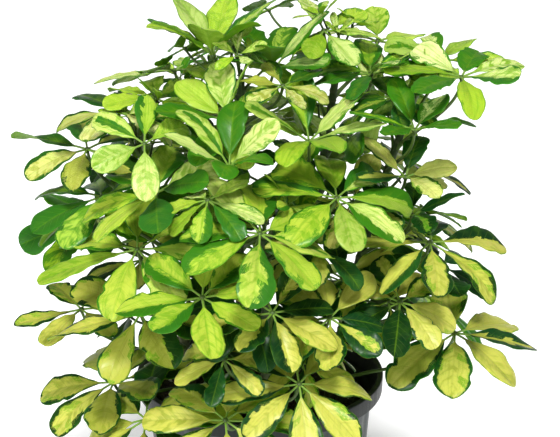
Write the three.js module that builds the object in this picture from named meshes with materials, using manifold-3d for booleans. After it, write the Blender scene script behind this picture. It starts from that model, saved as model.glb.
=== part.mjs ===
// A dwarf umbrella plant with gold-variegated leaves, growing in a ribbed nursery pot.
// Millimetres, +Z up. The origin is the centre of the pot's underside, and the front faces -Y.

import * as THREE from "three";
import { mergeVertices } from "three/addons/utils/BufferGeometryUtils.js";
import Module from "manifold-3d";

const wasm = await Module();
wasm.setup();

// Pot
const POT_HEIGHT = 245;
const RIM_RADIUS = 131;
const RIM_BAND = 18;
const RIM_LIP = 6;
const RIM_ROUND = 2;
const BODY_TOP_RADIUS = 119;
const BODY_BASE_RADIUS = 101;
const POT_WALL = 2.2;
const POT_FLOOR = 3;
const RIBS = 20;
const RIB_DEPTH = 1.8;
const STEPS_PER_RIB = 3;
const DRAINS = 6;
const DRAIN_RADIUS = 8;
const DRAIN_CIRCLE = 74;
const DRAIN_SIDES = 8;

// Soil
const SOIL_TOP = 216;
const SOIL_MOUND = 9;
const SOIL_ROUGHNESS = 2.2;
const SOIL_RINGS = [0.84, 0.6, 0.34, 0];
const SOIL_SIDES = 24;
const LUMP_LENGTH = 57;
const SEAT_GAP = 0.3;

// Canes
const CANE_FOOT_RADIUS = 6.2;
const CANE_TIP_RADIUS = 3.6;
const CANE_SIDES = 6;
const CANE_STEPS = 6;
const CANE_BURIED = 70;

// Leaf stalks and hubs
const STALK_RADIUS = 1.5;
const STALK_FLARE = 1.3;
const STALK_ROOM = 1.8;
const STALK_SIDES = 4;
const STALK_STEPS = 3;
const STALK_RISE = 0.62;
const STALK_DROP = 18;
const STALK_FIRST_CLIMB = 0.35;
const STALK_CLIMB_KEPT = 0.5;
const STALK_START_PULL = 0.4;
const STALK_END_PULL = 0.32;
const STALK_STEP_ALONG = 0.02;
const STALK_STEPS_TRIED = [0, 1, -1, 2, -2, 3, -3, 4, -4, 5, -5, 6, 7, 8, 9, 10, 11, 12];
const HUB_RADIUS = 3.4;
const HUB_HALF_HEIGHT = 2.6;
const HUB_ROOM = 1.7;
const LOWEST_LEAF_SCAR = 0.2;
const HIGHEST_LEAF_SCAR = 0.985;

// Leaflets
const HALF_WIDTH = 0.19;
const NECK = 0.17;
const NECK_HALF_WIDTH = 1.3;
const BLADE_HALF_THICKNESS = 0.8;
const FOLD = 0.2;
const WAVE = 0.022;
const BLADE_TAPER = 0.92;
const BLADE_BLUNTNESS = 0.67;
const LEAFLET_STATIONS = [0, NECK, 0.56, 0.87];
const TURN_SPREAD = 0.35;
const LENGTH_RANGE = [0.84, 1.06];
const WIDTH_RANGE = [0.9, 1.1];
const OPENING_RANGE = [-7, 7];
const ARCH_RANGE = [6, 34];
const ROLL_RANGE = [-25, 25];
const FIRST_SEED = 17;
const SEED_STEP = 7919;
const LIFTS = [0, 8, -8, 16, -16, 24, -24, 32, -32, 40];
const SHRINKS = [1, 0.8, 0.62];
const CLEAR_BESIDE = 0.8;
const CLEAR_ABOVE = 0.6;

const FINISHES = {
  pot: { color: 0x4a5050, roughness: 0.55 },
  soil: { color: 0x2b211a, roughness: 0.95 },
  cane: { color: 0x5b6b3a, roughness: 0.8 },
  lime: { color: 0x9acb2a, roughness: 0.45 },
  green: { color: 0x3f9a2c, roughness: 0.4 },
  dark: { color: 0x1f5a2a, roughness: 0.35 },
  gold: { color: 0xdfe25c, roughness: 0.45 },
};

// Each cane leans from its foot at the soil by way of a bow point to its tip, and carries its leaves.
// A leaf is [hub x, y, z, lean from upright, compass direction of the lean, leaflets, leaflet length,
// opening from the stalk's line, tone]. Directions are degrees, with 0 to the right and -90 to the front.
const CANES = [
  {
    name: "right",
    foot: [62, -18],
    bow: [92, -34, 390],
    tip: [156, -14, 548],
    leaves: [
      [113, -12, 580, 12, -110, 7, 70, 80, "green"],
      [184, 2, 590, 10, -60, 6, 66, 72, "lime"],
      [202, -48, 588, 8, -95, 7, 74, 72, "lime"],
      [134, -54, 568, 10, -100, 6, 56, 84, "dark"],
      [154, -88, 546, 6, -80, 6, 68, 58, "green"],
      [147, -70, 490, 18, -90, 5, 64, 56, "gold"],
      [153, -88, 456, 16, -90, 5, 60, 50, "dark"],
      [170, -116, 438, 14, -60, 7, 86, 88, "gold"],
      [140, -140, 384, 22, -60, 7, 74, 88, "gold"],
      [200, -80, 324, 12, -40, 8, 102, 88, "gold"],
    ],
  },
  {
    name: "left",
    foot: [-62, -16],
    bow: [-84, -30, 370],
    tip: [-124, -14, 506],
    leaves: [
      [-105, 0, 550, 8, -90, 7, 64, 80, "lime"],
      [-142, -20, 543, 5, -95, 6, 80, 86, "gold"],
      [-176, -8, 498, 6, -110, 7, 82, 86, "gold"],
      [-101, -110, 488, 16, -120, 7, 84, 84, "lime"],
      [-160, -40, 458, 10, -110, 7, 90, 84, "green"],
      [-119, -140, 440, 16, -130, 7, 98, 86, "lime"],
      [-117, -146, 374, 22, -130, 7, 92, 86, "gold"],
      [-184, -46, 336, 12, -130, 6, 70, 88, "gold"],
      [-148, -106, 281, 18, -135, 7, 94, 88, "gold"],
    ],
  },
  {
    name: "middle",
    foot: [-14, 6],
    bow: [-26, -12, 410],
    tip: [-18, -10, 572],
    leaves: [
      [-46, -14, 600, 5, 180, 7, 88, 40, "lime"],
      [14, 12, 576, 6, -120, 7, 80, 60, "green"],
      [24, -64, 584, 14, -70, 6, 54, 86, "gold"],
      [-32, -70, 550, 14, -100, 7, 78, 62, "lime"],
      [-28, -136, 524, 14, -95, 6, 76, 44, "lime"],
      [-48, -168, 502, 14, -95, 8, 58, 102, "lime"],
    ],
  },
  {
    name: "tall",
    foot: [28, 40],
    bow: [58, 62, 410],
    tip: [82, 34, 584],
    leaves: [
      [66, 20, 616, 10, -90, 7, 66, 84, "lime"],
      [122, 56, 594, 10, -70, 6, 70, 82, "lime"],
      [50, -88, 534, 10, -90, 7, 78, 56, "lime"],
      [52, 122, 560, 22, 80, 6, 84, 84, "lime"],
      [118, 112, 530, 26, 55, 6, 84, 84, "green"],
      [160, 88, 450, 28, 30, 6, 84, 86, "gold"],
      [92, 182, 448, 32, 65, 6, 88, 88, "green"],
      [166, 132, 380, 34, 40, 7, 92, 88, "gold"],
      [70, 192, 356, 36, 70, 7, 90, 90, "gold"],
      [176, 76, 302, 34, 20, 6, 92, 90, "green"],
      [74, 168, 286, 42, 65, 5, 86, 90, "gold"],
    ],
  },
  {
    name: "front",
    foot: [6, -56],
    bow: [8, -108, 320],
    tip: [6, -126, 446],
    leaves: [
      [2, -190, 476, 26, -50, 8, 92, 86, "lime"],
      [77, -124, 488, 18, -60, 8, 84, 84, "lime"],
      [-53, -214, 420, 22, -95, 8, 80, 86, "lime"],
      [14, -200, 398, 30, -80, 8, 70, 86, "gold"],
      [70, -184, 386, 30, -75, 8, 74, 86, "gold"],
      [-33, -206, 352, 30, -100, 7, 52, 88, "gold"],
      [40, -208, 326, 32, -80, 8, 84, 88, "gold"],
      [-112, -174, 272, 28, -130, 8, 98, 90, "gold"],
      [-32, -214, 290, 32, -95, 8, 88, 88, "gold"],
    ],
  },
  {
    name: "back",
    foot: [-34, 46],
    bow: [-62, 96, 370],
    tip: [-74, 104, 510],
    leaves: [
      [-90, 96, 550, 16, 125, 6, 82, 82, "lime"],
      [-30, 112, 566, 16, 95, 6, 82, 82, "lime"],
      [-174, 30, 408, 16, -130, 7, 88, 86, "green"],
      [-90, 172, 460, 32, 115, 7, 86, 86, "gold"],
      [2, 190, 470, 32, 90, 7, 88, 86, "lime"],
      [-134, 140, 376, 36, 135, 7, 90, 90, "gold"],
      [-30, 200, 376, 36, 95, 7, 90, 90, "gold"],
    ],
  },
];

// Random draws that are the same each time, from a seed
function randomFrom(seed) {
  let state = seed >>> 0;
  return () => {
    state = (state + 0x6d2b79f5) >>> 0;
    let mixed = Math.imul(state ^ (state >>> 15), state | 1);
    mixed ^= mixed + Math.imul(mixed ^ (mixed >>> 7), mixed | 61);
    return ((mixed ^ (mixed >>> 14)) >>> 0) / 4294967296;
  };
}

const radians = THREE.MathUtils.degToRad;

// A closed solid from points and triangles
function solidFrom(points, triangles) {
  return new wasm.Manifold(
    new wasm.Mesh({
      numProp: 3,
      vertProperties: new Float32Array(points.flatMap((point) => [point.x, point.y, point.z])),
      triVerts: new Uint32Array(triangles.flat()),
    })
  );
}

// A closed solid from a three.js geometry
function solidOf(geometry) {
  const bare = geometry.clone();
  bare.deleteAttribute("normal");
  bare.deleteAttribute("uv");
  const merged = mergeVertices(bare, 1e-3);
  return new wasm.Manifold(
    new wasm.Mesh({
      numProp: 3,
      vertProperties: new Float32Array(merged.attributes.position.array),
      triVerts: new Uint32Array(merged.index.array),
    })
  );
}

function geometryOf(solid) {
  const mesh = solid.getMesh();
  const geometry = new THREE.BufferGeometry();
  geometry.setAttribute("position", new THREE.BufferAttribute(new Float32Array(mesh.vertProperties), 3));
  geometry.setIndex(new THREE.BufferAttribute(new Uint32Array(mesh.triVerts), 1));
  return geometry;
}

// Rings of equal size joined one to the next, with both ends closed
function loft(rings) {
  const sides = rings[0].length;
  const triangles = [];
  for (let ring = 0; ring + 1 < rings.length; ring += 1) {
    for (let side = 0; side < sides; side += 1) {
      const here = ring * sides + side;
      const next = ring * sides + ((side + 1) % sides);
      triangles.push([here, next, next + sides], [here, next + sides, here + sides]);
    }
  }
  const last = (rings.length - 1) * sides;
  for (let side = 1; side + 1 < sides; side += 1) {
    triangles.push([0, side + 1, side], [last, last + side, last + side + 1]);
  }
  return solidFrom(rings.flat(), triangles);
}

// A round bar along a curve, its radius going from one value to another
function bar(curve, steps, sides, startRadius, endRadius) {
  const frames = curve.computeFrenetFrames(steps, false);
  const rings = [];
  for (let step = 0; step <= steps; step += 1) {
    const along = step / steps;
    const centre = curve.getPoint(along);
    const radius = THREE.MathUtils.lerp(startRadius, endRadius, along);
    const ring = [];
    for (let side = 0; side < sides; side += 1) {
      const angle = (2 * Math.PI * side) / sides;
      ring.push(
        centre
          .clone()
          .addScaledVector(frames.normals[step], radius * Math.cos(angle))
          .addScaledVector(frames.binormals[step], radius * Math.sin(angle))
      );
    }
    rings.push(ring);
  }
  return loft(rings);
}

// The pot: one turned wall with a rim band, its outside drawn in and out by the ribs, and drain holes
function buildPot() {
  const bandFoot = POT_HEIGHT - RIM_BAND;
  const innerTop = BODY_TOP_RADIUS - POT_WALL;
  const innerBase = BODY_BASE_RADIUS - POT_WALL;
  const profile = [
    [0, 0],
    [BODY_BASE_RADIUS, 0],
    [BODY_TOP_RADIUS, bandFoot],
    [RIM_RADIUS, bandFoot],
    [RIM_RADIUS, POT_HEIGHT - RIM_ROUND],
    [RIM_RADIUS - RIM_ROUND, POT_HEIGHT],
    [RIM_RADIUS - RIM_LIP, POT_HEIGHT],
    [innerTop + RIM_ROUND, bandFoot + RIM_ROUND],
    [innerTop, bandFoot - RIM_ROUND],
    [innerBase, POT_FLOOR],
    [0, POT_FLOOR],
  ].map(([radius, height]) => new THREE.Vector2(radius, height));
  const segments = RIBS * STEPS_PER_RIB;
  const turned = new THREE.LatheGeometry(profile, segments);
  const position = turned.attributes.position;
  for (let index = 0; index < position.count; index += 1) {
    const ring = index % profile.length;
    const step = Math.floor(index / profile.length) % segments;
    const onRib = (ring === 1 || ring === 2) && step % STEPS_PER_RIB === 0;
    const radius = profile[ring].x;
    const shrink = onRib ? (radius - RIB_DEPTH) / radius : 1;
    position.setX(index, position.getX(index) * shrink);
    position.setZ(index, position.getZ(index) * shrink);
  }
  turned.rotateX(Math.PI / 2);
  let pot = solidOf(turned);
  for (let drain = 0; drain < DRAINS; drain += 1) {
    const angle = (2 * Math.PI * drain) / DRAINS;
    const hole = new THREE.CylinderGeometry(DRAIN_RADIUS, DRAIN_RADIUS, 4 * POT_FLOOR, DRAIN_SIDES);
    hole.rotateX(Math.PI / 2);
    hole.translate(DRAIN_CIRCLE * Math.cos(angle), DRAIN_CIRCLE * Math.sin(angle), 0);
    pot = pot.subtract(solidOf(hole));
  }
  return pot;
}

// The height of the soil's lumpy, slightly mounded top
function soilHeight(x, y) {
  const reach = Math.hypot(x, y) / BODY_TOP_RADIUS;
  const [across, back] = [(2 * Math.PI * x) / LUMP_LENGTH, (2 * Math.PI * y) / LUMP_LENGTH];
  const lumps = Math.sin(across + 1) * Math.cos(back) + Math.sin((across - back) / 2);
  return SOIL_TOP + SOIL_MOUND * (1 - reach * reach) + SOIL_ROUGHNESS * lumps;
}

// The soil fills the pot up to its top, with a plain hole for each cane
function buildSoil(caneHoles) {
  const wallLean = (BODY_TOP_RADIUS - BODY_BASE_RADIUS) / (POT_HEIGHT - RIM_BAND);
  const innerRadius = (height) => BODY_BASE_RADIUS - POT_WALL - 2 * SEAT_GAP + wallLean * height;
  const floor = POT_FLOOR + SEAT_GAP;
  const edgeHeight = SOIL_TOP - 3 * SOIL_ROUGHNESS;
  const edge = innerRadius(edgeHeight);
  const profile = [
    [0, floor],
    [innerRadius(floor), floor],
    [edge, edgeHeight],
    ...SOIL_RINGS.map((share) => [share * edge, SOIL_TOP]),
  ].map(([radius, height]) => new THREE.Vector2(radius, height));
  const filled = new THREE.LatheGeometry(profile, SOIL_SIDES);
  filled.rotateX(Math.PI / 2);
  const position = filled.attributes.position;
  for (let index = 0; index < position.count; index += 1) {
    if (index % profile.length > 2) {
      position.setZ(index, soilHeight(position.getX(index), position.getY(index)));
    }
  }
  return caneHoles.reduce((soil, hole) => soil.subtract(hole), solidOf(filled));
}

// The curve that a cane follows, which can be asked to run a little past both its ends
function caneCurve(cane, extra = 0) {
  const [tipX, tipY, tipZ] = cane.tip;
  return new THREE.QuadraticBezierCurve3(
    new THREE.Vector3(...cane.foot, SOIL_TOP - CANE_BURIED - extra),
    new THREE.Vector3(...cane.bow),
    new THREE.Vector3(tipX, tipY, tipZ + extra)
  );
}

function withinLeafyStretch(along) {
  return THREE.MathUtils.clamp(along, LOWEST_LEAF_SCAR, HIGHEST_LEAF_SCAR);
}

// How far along its curve a cane reaches a height
function caneAlong(cane, height) {
  const start = SOIL_TOP - CANE_BURIED;
  const bend = start - 2 * cane.bow[2] + cane.tip[2];
  const rise = 2 * (cane.bow[2] - start);
  const underRoot = rise * rise + 4 * bend * (height - start);
  return (Math.sqrt(Math.max(underRoot, 0)) - rise) / (2 * bend);
}

// A direction from its lean away from upright and its compass direction, both in degrees
function leaning(lean, compass) {
  return new THREE.Vector3(
    Math.sin(radians(lean)) * Math.cos(radians(compass)),
    Math.sin(radians(lean)) * Math.sin(radians(compass)),
    Math.cos(radians(lean))
  );
}

// A leaf stalk springs from its cane at a slant and bends to arrive along the leaf's own axis
function stalkCurve(cane, curve, leaf, place) {
  const reach = Math.hypot(leaf.hub.x - cane.bow[0], leaf.hub.y - cane.bow[1]);
  const height = leaf.hub.z - STALK_DROP - STALK_RISE * reach;
  const start = curve.getPoint(withinLeafyStretch(withinLeafyStretch(caneAlong(cane, height)) + place));
  const span = start.distanceTo(leaf.hub);
  const away = leaf.hub.clone().sub(start);
  away.z = STALK_FIRST_CLIMB * span + STALK_CLIMB_KEPT * Math.max(away.z, 0);
  away.normalize();
  return new THREE.CubicBezierCurve3(
    start,
    start.clone().addScaledVector(away, STALK_START_PULL * span),
    leaf.hub.clone().addScaledVector(leaf.axis, -STALK_END_PULL * span),
    leaf.hub.clone()
  );
}

// How far a blade has widened at a place along it, wedge-shaped at first and blunt at its tip
function bladeSwell(blade) {
  return Math.pow(blade, BLADE_TAPER) * Math.pow(1 - blade, BLADE_BLUNTNESS);
}

// Half the width of a leaflet at a place along it: a thin neck, then a blade widest past its middle
function halfWidth(leaflet, along) {
  if (along <= NECK) {
    return NECK_HALF_WIDTH;
  }
  const blade = Math.min((along - NECK) / (1 - NECK), 1);
  const widest = BLADE_TAPER / (BLADE_TAPER + BLADE_BLUNTNESS);
  return (HALF_WIDTH * leaflet.width * bladeSwell(blade)) / bladeSwell(widest);
}

// The leaflet's centre line and its across and up directions, at a place along it
function leafletFrame(leaflet, along) {
  const start = radians(leaflet.opening);
  const turn = start + radians(leaflet.arch) * along;
  const scale = leaflet.length / radians(leaflet.arch);
  const centre = leaflet.hub
    .clone()
    .addScaledVector(leaflet.outward, scale * (Math.cos(start) - Math.cos(turn)))
    .addScaledVector(leaflet.axis, scale * (Math.sin(turn) - Math.sin(start)));
  const across = new THREE.Vector3().crossVectors(leaflet.outward, leaflet.axis);
  const up = new THREE.Vector3()
    .addScaledVector(leaflet.outward, -Math.cos(turn))
    .addScaledVector(leaflet.axis, Math.sin(turn));
  const roll = radians(leaflet.roll) * along;
  return {
    centre,
    across: across.clone().multiplyScalar(Math.cos(roll)).addScaledVector(up, Math.sin(roll)),
    up: up.clone().multiplyScalar(Math.cos(roll)).addScaledVector(across, -Math.sin(roll)),
  };
}

// A leaflet's outline at one place along it: two edges, raised by the crease and the wave, and the
// underside and top of the midrib between them. More room can be asked for beside and above it.
function leafletRing(leaflet, along, beside = 0, above = 0) {
  const frame = leafletFrame(leaflet, along);
  const half = halfWidth(leaflet, along) + beside;
  const thick = BLADE_HALF_THICKNESS + above;
  const edge = (side) => {
    const wave = WAVE * leaflet.length * Math.sin(2 * Math.PI * along + leaflet.phase + side);
    const raised = along > NECK ? FOLD * half + wave : 0;
    return frame.centre
      .clone()
      .addScaledVector(frame.across, side * half)
      .addScaledVector(frame.up, raised);
  };
  return [
    edge(-1),
    frame.centre.clone().addScaledVector(frame.up, -thick),
    edge(1),
    frame.centre.clone().addScaledVector(frame.up, thick),
  ];
}

// Triangles between rings of four points that follow each other in the list, and on to a single tip.
// The top and underside of each half of the blade are split the same way.
function bladeTriangles(ringStarts, tip) {
  const triangles = [];
  for (let ring = 0; ring + 1 < ringStarts.length; ring += 1) {
    const near = ringStarts[ring];
    const far = ringStarts[ring + 1];
    for (const middle of [1, 3]) {
      for (const edge of [0, 2]) {
        const halves = [
          [near[edge], near[middle], far[middle]],
          [near[edge], far[middle], far[edge]],
        ];
        const faceOut = (edge === 0) !== (middle === 1);
        triangles.push(...halves.map((corners) => (faceOut ? corners : corners.toReversed())));
      }
    }
  }
  const last = ringStarts.at(-1);
  for (let side = 0; side < 4; side += 1) {
    triangles.push([last[(side + 1) % 4], last[side], tip]);
  }
  return triangles;
}

// The room that one leaflet needs, a little larger than the leaflet
function leafletRoom(leaflet) {
  const rings = LEAFLET_STATIONS.map((along) => leafletRing(leaflet, along, CLEAR_BESIDE, CLEAR_ABOVE));
  const tip = leafletFrame(leaflet, 1 + (2 * CLEAR_BESIDE) / leaflet.length).centre;
  const ringStarts = rings.map((_, ring) => [0, 1, 2, 3].map((corner) => 4 * ring + corner));
  const triangles = [[0, 2, 3], [0, 1, 2], ...bladeTriangles(ringStarts, 4 * rings.length)];
  return solidFrom([...rings.flat(), tip], triangles);
}

// A leaf's hub with its leaflets growing out of it in one skin. Each leaflet leaves the hub between
// two corners of it, and a place with no leaflet is closed over.
function umbrellaSolid(leaf, leaflets) {
  const points = [
    leaf.hub.clone().addScaledVector(leaf.axis, HUB_HALF_HEIGHT),
    leaf.hub.clone().addScaledVector(leaf.axis, -HUB_HALF_HEIGHT),
  ];
  const add = (point) => points.push(point) - 1;
  const onHub = (outward, upward) =>
    add(
      leaf.hub
        .clone()
        .addScaledVector(outward, HUB_RADIUS)
        .addScaledVector(leaf.axis, upward)
    );
  const corners = leaflets.map((leaflet, index) => {
    const before = leaflets[(index + leaflets.length - 1) % leaflets.length];
    return onHub(before.outward.clone().add(leaflet.outward).normalize(), 0);
  });
  const triangles = [];
  leaflets.forEach((leaflet, index) => {
    const right = corners[index];
    const left = corners[(index + 1) % corners.length];
    const top = onHub(leaflet.outward, NECK_HALF_WIDTH);
    const under = onHub(leaflet.outward, -NECK_HALF_WIDTH);
    const base = [left, under, right, top];
    triangles.push([0, right, top], [0, top, left], [1, under, right], [1, left, under]);
    if (leaflet.dropped) {
      triangles.push([left, top, right], [left, right, under]);
      return;
    }
    const rings = LEAFLET_STATIONS.slice(1).map((along) => leafletRing(leaflet, along).map(add));
    triangles.push(...bladeTriangles([base, ...rings], add(leafletFrame(leaflet, 1).centre)));
  });
  return solidFrom(points, triangles);
}

// The leaflets of one leaf, before any is moved aside for its neighbours
function planLeaflets(leaf) {
  const draw = randomFrom(leaf.seed);
  const within = ([least, most]) => least + (most - least) * draw();
  const level = new THREE.Vector3().crossVectors(leaf.axis, new THREE.Vector3(0, 0, 1)).normalize();
  const firstTurn = 360 * draw();
  const leaflets = [];
  for (let index = 0; index < leaf.count; index += 1) {
    const turn = firstTurn + (360 * (index + TURN_SPREAD * (draw() - 0.5))) / leaf.count;
    leaflets.push({
      hub: leaf.hub,
      axis: leaf.axis,
      outward: level.clone().applyAxisAngle(leaf.axis, radians(turn)),
      length: leaf.length * within(LENGTH_RANGE),
      width: leaf.length * within(WIDTH_RANGE),
      opening: leaf.opening + within(OPENING_RANGE),
      arch: within(ARCH_RANGE),
      roll: within(ROLL_RANGE),
      phase: 2 * Math.PI * draw(),
    });
  }
  return leaflets;
}

function overlaps(one, other) {
  const a = one.box;
  const b = other.box;
  const apart = [0, 1, 2].some((axis) => a.min[axis] > b.max[axis] || b.min[axis] > a.max[axis]);
  if (apart) {
    return false;
  }
  const shared = one.solid.intersect(other.solid);
  const touching = !shared.isEmpty();
  shared.delete();
  return touching;
}

function boxed(solid, owner) {
  return { solid, owner, box: solid.boundingBox() };
}

function isClear(candidate, placed) {
  return !placed.some((other) => other.owner !== candidate.owner && overlaps(candidate, other));
}

// Each leaf's stalk and hub take the first free place on their cane
function placeStalk(leaf, placed) {
  for (const steps of STALK_STEPS_TRIED) {
    const path = stalkCurve(leaf.cane, leaf.curve, leaf, steps * STALK_STEP_ALONG);
    const hub = new THREE.OctahedronGeometry(HUB_RADIUS * HUB_ROOM);
    hub.translate(leaf.hub.x, leaf.hub.y, leaf.hub.z);
    const reserved = STALK_RADIUS * STALK_ROOM;
    const stalkRoom = bar(path, STALK_STEPS, STALK_SIDES, reserved, reserved);
    const room = boxed(stalkRoom.add(solidOf(hub)).subtract(leaf.caneAndGap), leaf.name);
    if (isClear(room, placed)) {
      placed.push(room);
      const stalk = bar(path, STALK_STEPS, STALK_SIDES, STALK_RADIUS * STALK_FLARE, STALK_RADIUS);
      return stalk.subtract(leaf.caneAndGap);
    }
  }
  throw new Error(`${leaf.name}: no free place for its stalk`);
}

// A leaflet is lifted or lowered at its neck until it clears its neighbours, then made smaller
function placeLeaflet(leaflet, owner, placed) {
  for (const shrink of SHRINKS) {
    for (const lift of LIFTS) {
      const moved = {
        ...leaflet,
        opening: leaflet.opening - lift,
        length: leaflet.length * shrink,
        width: leaflet.width * shrink,
      };
      const room = boxed(leafletRoom(moved), owner);
      if (isClear(room, placed)) {
        placed.push(room);
        return moved;
      }
      room.solid.delete();
    }
  }
  return { ...leaflet, dropped: true };
}

const plant = new THREE.Group();

function addPiece(name, solid, finish) {
  const material = new THREE.MeshStandardMaterial({ ...FINISHES[finish], metalness: 0 });
  const mesh = new THREE.Mesh(geometryOf(solid), material);
  mesh.name = name;
  plant.add(mesh);
}

const pot = buildPot();
const placed = [boxed(pot, "pot")];
const caneHoles = [];
const leaves = [];

for (const cane of CANES) {
  const curve = caneCurve(cane);
  const widened = (extra) =>
    bar(
      caneCurve(cane, extra),
      CANE_STEPS,
      CANE_SIDES,
      CANE_FOOT_RADIUS + extra,
      CANE_TIP_RADIUS + extra
    );
  const solid = widened(0);
  const caneAndGap = widened(SEAT_GAP);
  caneHoles.push(caneAndGap);
  addPiece(`cane_${cane.name}`, solid, "cane");
  placed.push(boxed(solid, `cane_${cane.name}`));
  cane.leaves.forEach(([x, y, z, lean, compass, count, length, opening, tone], index) => {
    leaves.push({
      name: `leaf_${cane.name}_${index + 1}`,
      cane,
      curve,
      caneAndGap,
      hub: new THREE.Vector3(x, y, z),
      axis: leaning(lean, compass),
      seed: FIRST_SEED + SEED_STEP * leaves.length,
      count,
      length,
      opening,
      tone,
    });
  });
}

const soil = buildSoil(caneHoles);
placed.push(boxed(soil, "soil"));
addPiece("pot", pot, "pot");
addPiece("soil", soil, "soil");

// Stalks first, then leaflets from the front of the crown to its back
for (const leaf of leaves) {
  leaf.stalk = placeStalk(leaf, placed);
}
leaves.sort((one, other) => one.hub.y - other.hub.y);
for (const leaf of leaves) {
  const leaflets = planLeaflets(leaf).map((leaflet) => placeLeaflet(leaflet, leaf.name, placed));
  addPiece(leaf.name, leaf.stalk.add(umbrellaSolid(leaf, leaflets)), leaf.tone);
}

export default plant;
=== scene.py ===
"""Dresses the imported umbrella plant: variegated leaflets, leaf stalks, barked canes, young shoots,
crumbly soil and a ribbed plastic pot, with a pale studio round them. Metres, +Z up, and the same
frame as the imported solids."""

import math
from types import SimpleNamespace

import bpy
import numpy as np
from bpy.props import FloatProperty, FloatVectorProperty, IntProperty, PointerProperty
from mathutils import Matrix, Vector
from mathutils.bvhtree import BVHTree


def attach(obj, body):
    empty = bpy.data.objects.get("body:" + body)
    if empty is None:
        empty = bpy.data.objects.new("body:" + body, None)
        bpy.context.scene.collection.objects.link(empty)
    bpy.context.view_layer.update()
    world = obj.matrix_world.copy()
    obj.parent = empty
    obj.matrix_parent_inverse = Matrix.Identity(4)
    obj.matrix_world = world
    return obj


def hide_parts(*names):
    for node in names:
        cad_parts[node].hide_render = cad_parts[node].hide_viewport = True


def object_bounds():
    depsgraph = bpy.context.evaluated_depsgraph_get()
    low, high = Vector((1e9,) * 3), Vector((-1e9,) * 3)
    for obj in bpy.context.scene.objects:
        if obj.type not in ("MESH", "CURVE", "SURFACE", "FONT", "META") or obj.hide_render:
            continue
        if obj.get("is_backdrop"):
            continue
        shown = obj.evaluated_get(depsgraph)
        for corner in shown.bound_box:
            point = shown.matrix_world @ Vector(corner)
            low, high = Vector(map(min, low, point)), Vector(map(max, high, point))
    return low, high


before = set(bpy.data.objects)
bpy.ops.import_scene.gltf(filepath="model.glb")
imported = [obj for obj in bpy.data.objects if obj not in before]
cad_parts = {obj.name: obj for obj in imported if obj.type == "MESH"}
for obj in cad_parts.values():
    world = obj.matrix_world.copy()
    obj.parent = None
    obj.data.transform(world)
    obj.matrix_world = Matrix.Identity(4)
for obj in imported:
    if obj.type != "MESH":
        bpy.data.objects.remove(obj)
CAD_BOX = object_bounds()

bl_info = {
    "name": "Potted umbrella plant",
    "version": (1, 0, 0),
    "blender": (4, 5, 0),
    "location": "3D View > Sidebar > Plant",
    "description": "Leaves, canes, soil, pot and studio for a potted umbrella plant",
    "category": "Object",
}

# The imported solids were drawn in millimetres, and so are the sizes here, up to the finished meshes
MM = 0.001

# Pot and soil, as in the solids
POT_HEIGHT = 245
RIM_RADIUS = 131
RIM_BAND = 18
RIM_LIP = 6
BODY_TOP_RADIUS = 119
BODY_BASE_RADIUS = 101
POT_WALL = 2.2
POT_FLOOR = 3
RIBS = 20
DRAINS = 6
DRAIN_RADIUS = 8
DRAIN_CIRCLE = 74
SOIL_TOP = 216
SOIL_MOUND = 9
SOIL_ROUGHNESS = 2.2
LUMP_LENGTH = 57

# Pot, finer than in the solids: the first ring round its axis, the longest step along its profile, the
# points of a rounded corner, the columns to a rib, the width of the groove beside a rib as a share of
# the ribs' pitch, and the least angle that stays sharp
POLE_RADIUS = 0.5
PROFILE_STEP = 9
CORNER_POINTS = 5
COLUMNS_TO_A_RIB = 14
GROOVE_WIDTH = 0.17
DRAIN_COLUMNS = 28
SHARP_ANGLE = 40

# Soil, finer than in the solids: its gaps to the wall and the floor, its height at the wall, its
# columns and rows, and the noise on it as (height, size of the noise's cells, seed)
SOIL_WALL_GAP = 0.6
SOIL_FLOOR_GAP = 0.3
SOIL_EDGE = SOIL_TOP - 3 * SOIL_ROUGHNESS
SOIL_COLUMNS = 250
SOIL_SIDE_ROWS = 12
SOIL_TOP_ROWS = 76
SOIL_WAVES = ((2.0, 11, 1), (1.3, 5, 2), (0.7, 2.4, 3))

# Loose lumps on the soil: how far they stay from the wall, (smallest, largest, flatness) of the crumbs
# and of the perlite grains, the number of grains, and the first seed of the draws
LUMP_MARGIN = 7
CRUMB_SIZES = (0.7, 5.5, 0.7)
GRAIN_SIZES = (0.8, 2.4, 0.85)
PERLITE_GRAINS = 40
LUMP_SEED = 900

# Canes and leaf stalks, as in the solids
CANE_FOOT_RADIUS = 6.2
CANE_TIP_RADIUS = 3.6
CANE_BURIED = 70
STALK_RADIUS = 1.5
STALK_FLARE = 1.3
STALK_RISE = 0.62
STALK_DROP = 18
STALK_FIRST_CLIMB = 0.35
STALK_CLIMB_KEPT = 0.5
STALK_START_PULL = 0.4
STALK_END_PULL = 0.32
STALK_STEP_ALONG = 0.02
STALK_STEPS_TRIED = [0, 1, -1, 2, -2, 3, -3, 4, -4, 5, -5, 6, 7, 8, 9, 10, 11, 12]
LOWEST_LEAF_SCAR = 0.2
HIGHEST_LEAF_SCAR = 0.985

# Canes, finer than in the solids: rows and columns, how far along the first leaf scar is, how far
# round each scar is from the last in radians, and the first seed of the draws
CANE_ROWS = 260
CANE_COLUMNS = 20
FIRST_SCAR = 90.0
SCAR_TURN = 2.4
BARK_SEED = 77

# Leaf stalks, finer than in the solids: rows and columns, how far the stalk swells where it clasps its
# cane and along what length, and the knob at the hub as (place along the leaf's axis, radius)
STALK_ROWS = 26
STALK_COLUMNS = 10
CLASP_SWELL = 1.7
CLASP_LENGTH = 7
KNOB = np.array([[-4.5, 1.4], [-2.4, 1.9], [-0.9, 2.9], [0.6, 3.1], [1.7, 2.3], [2.3, 1.0]])
KNOB_COLUMNS = 12
NO_STALK_THIS_WAY = np.array([0.01, 0.02, 1])

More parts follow.
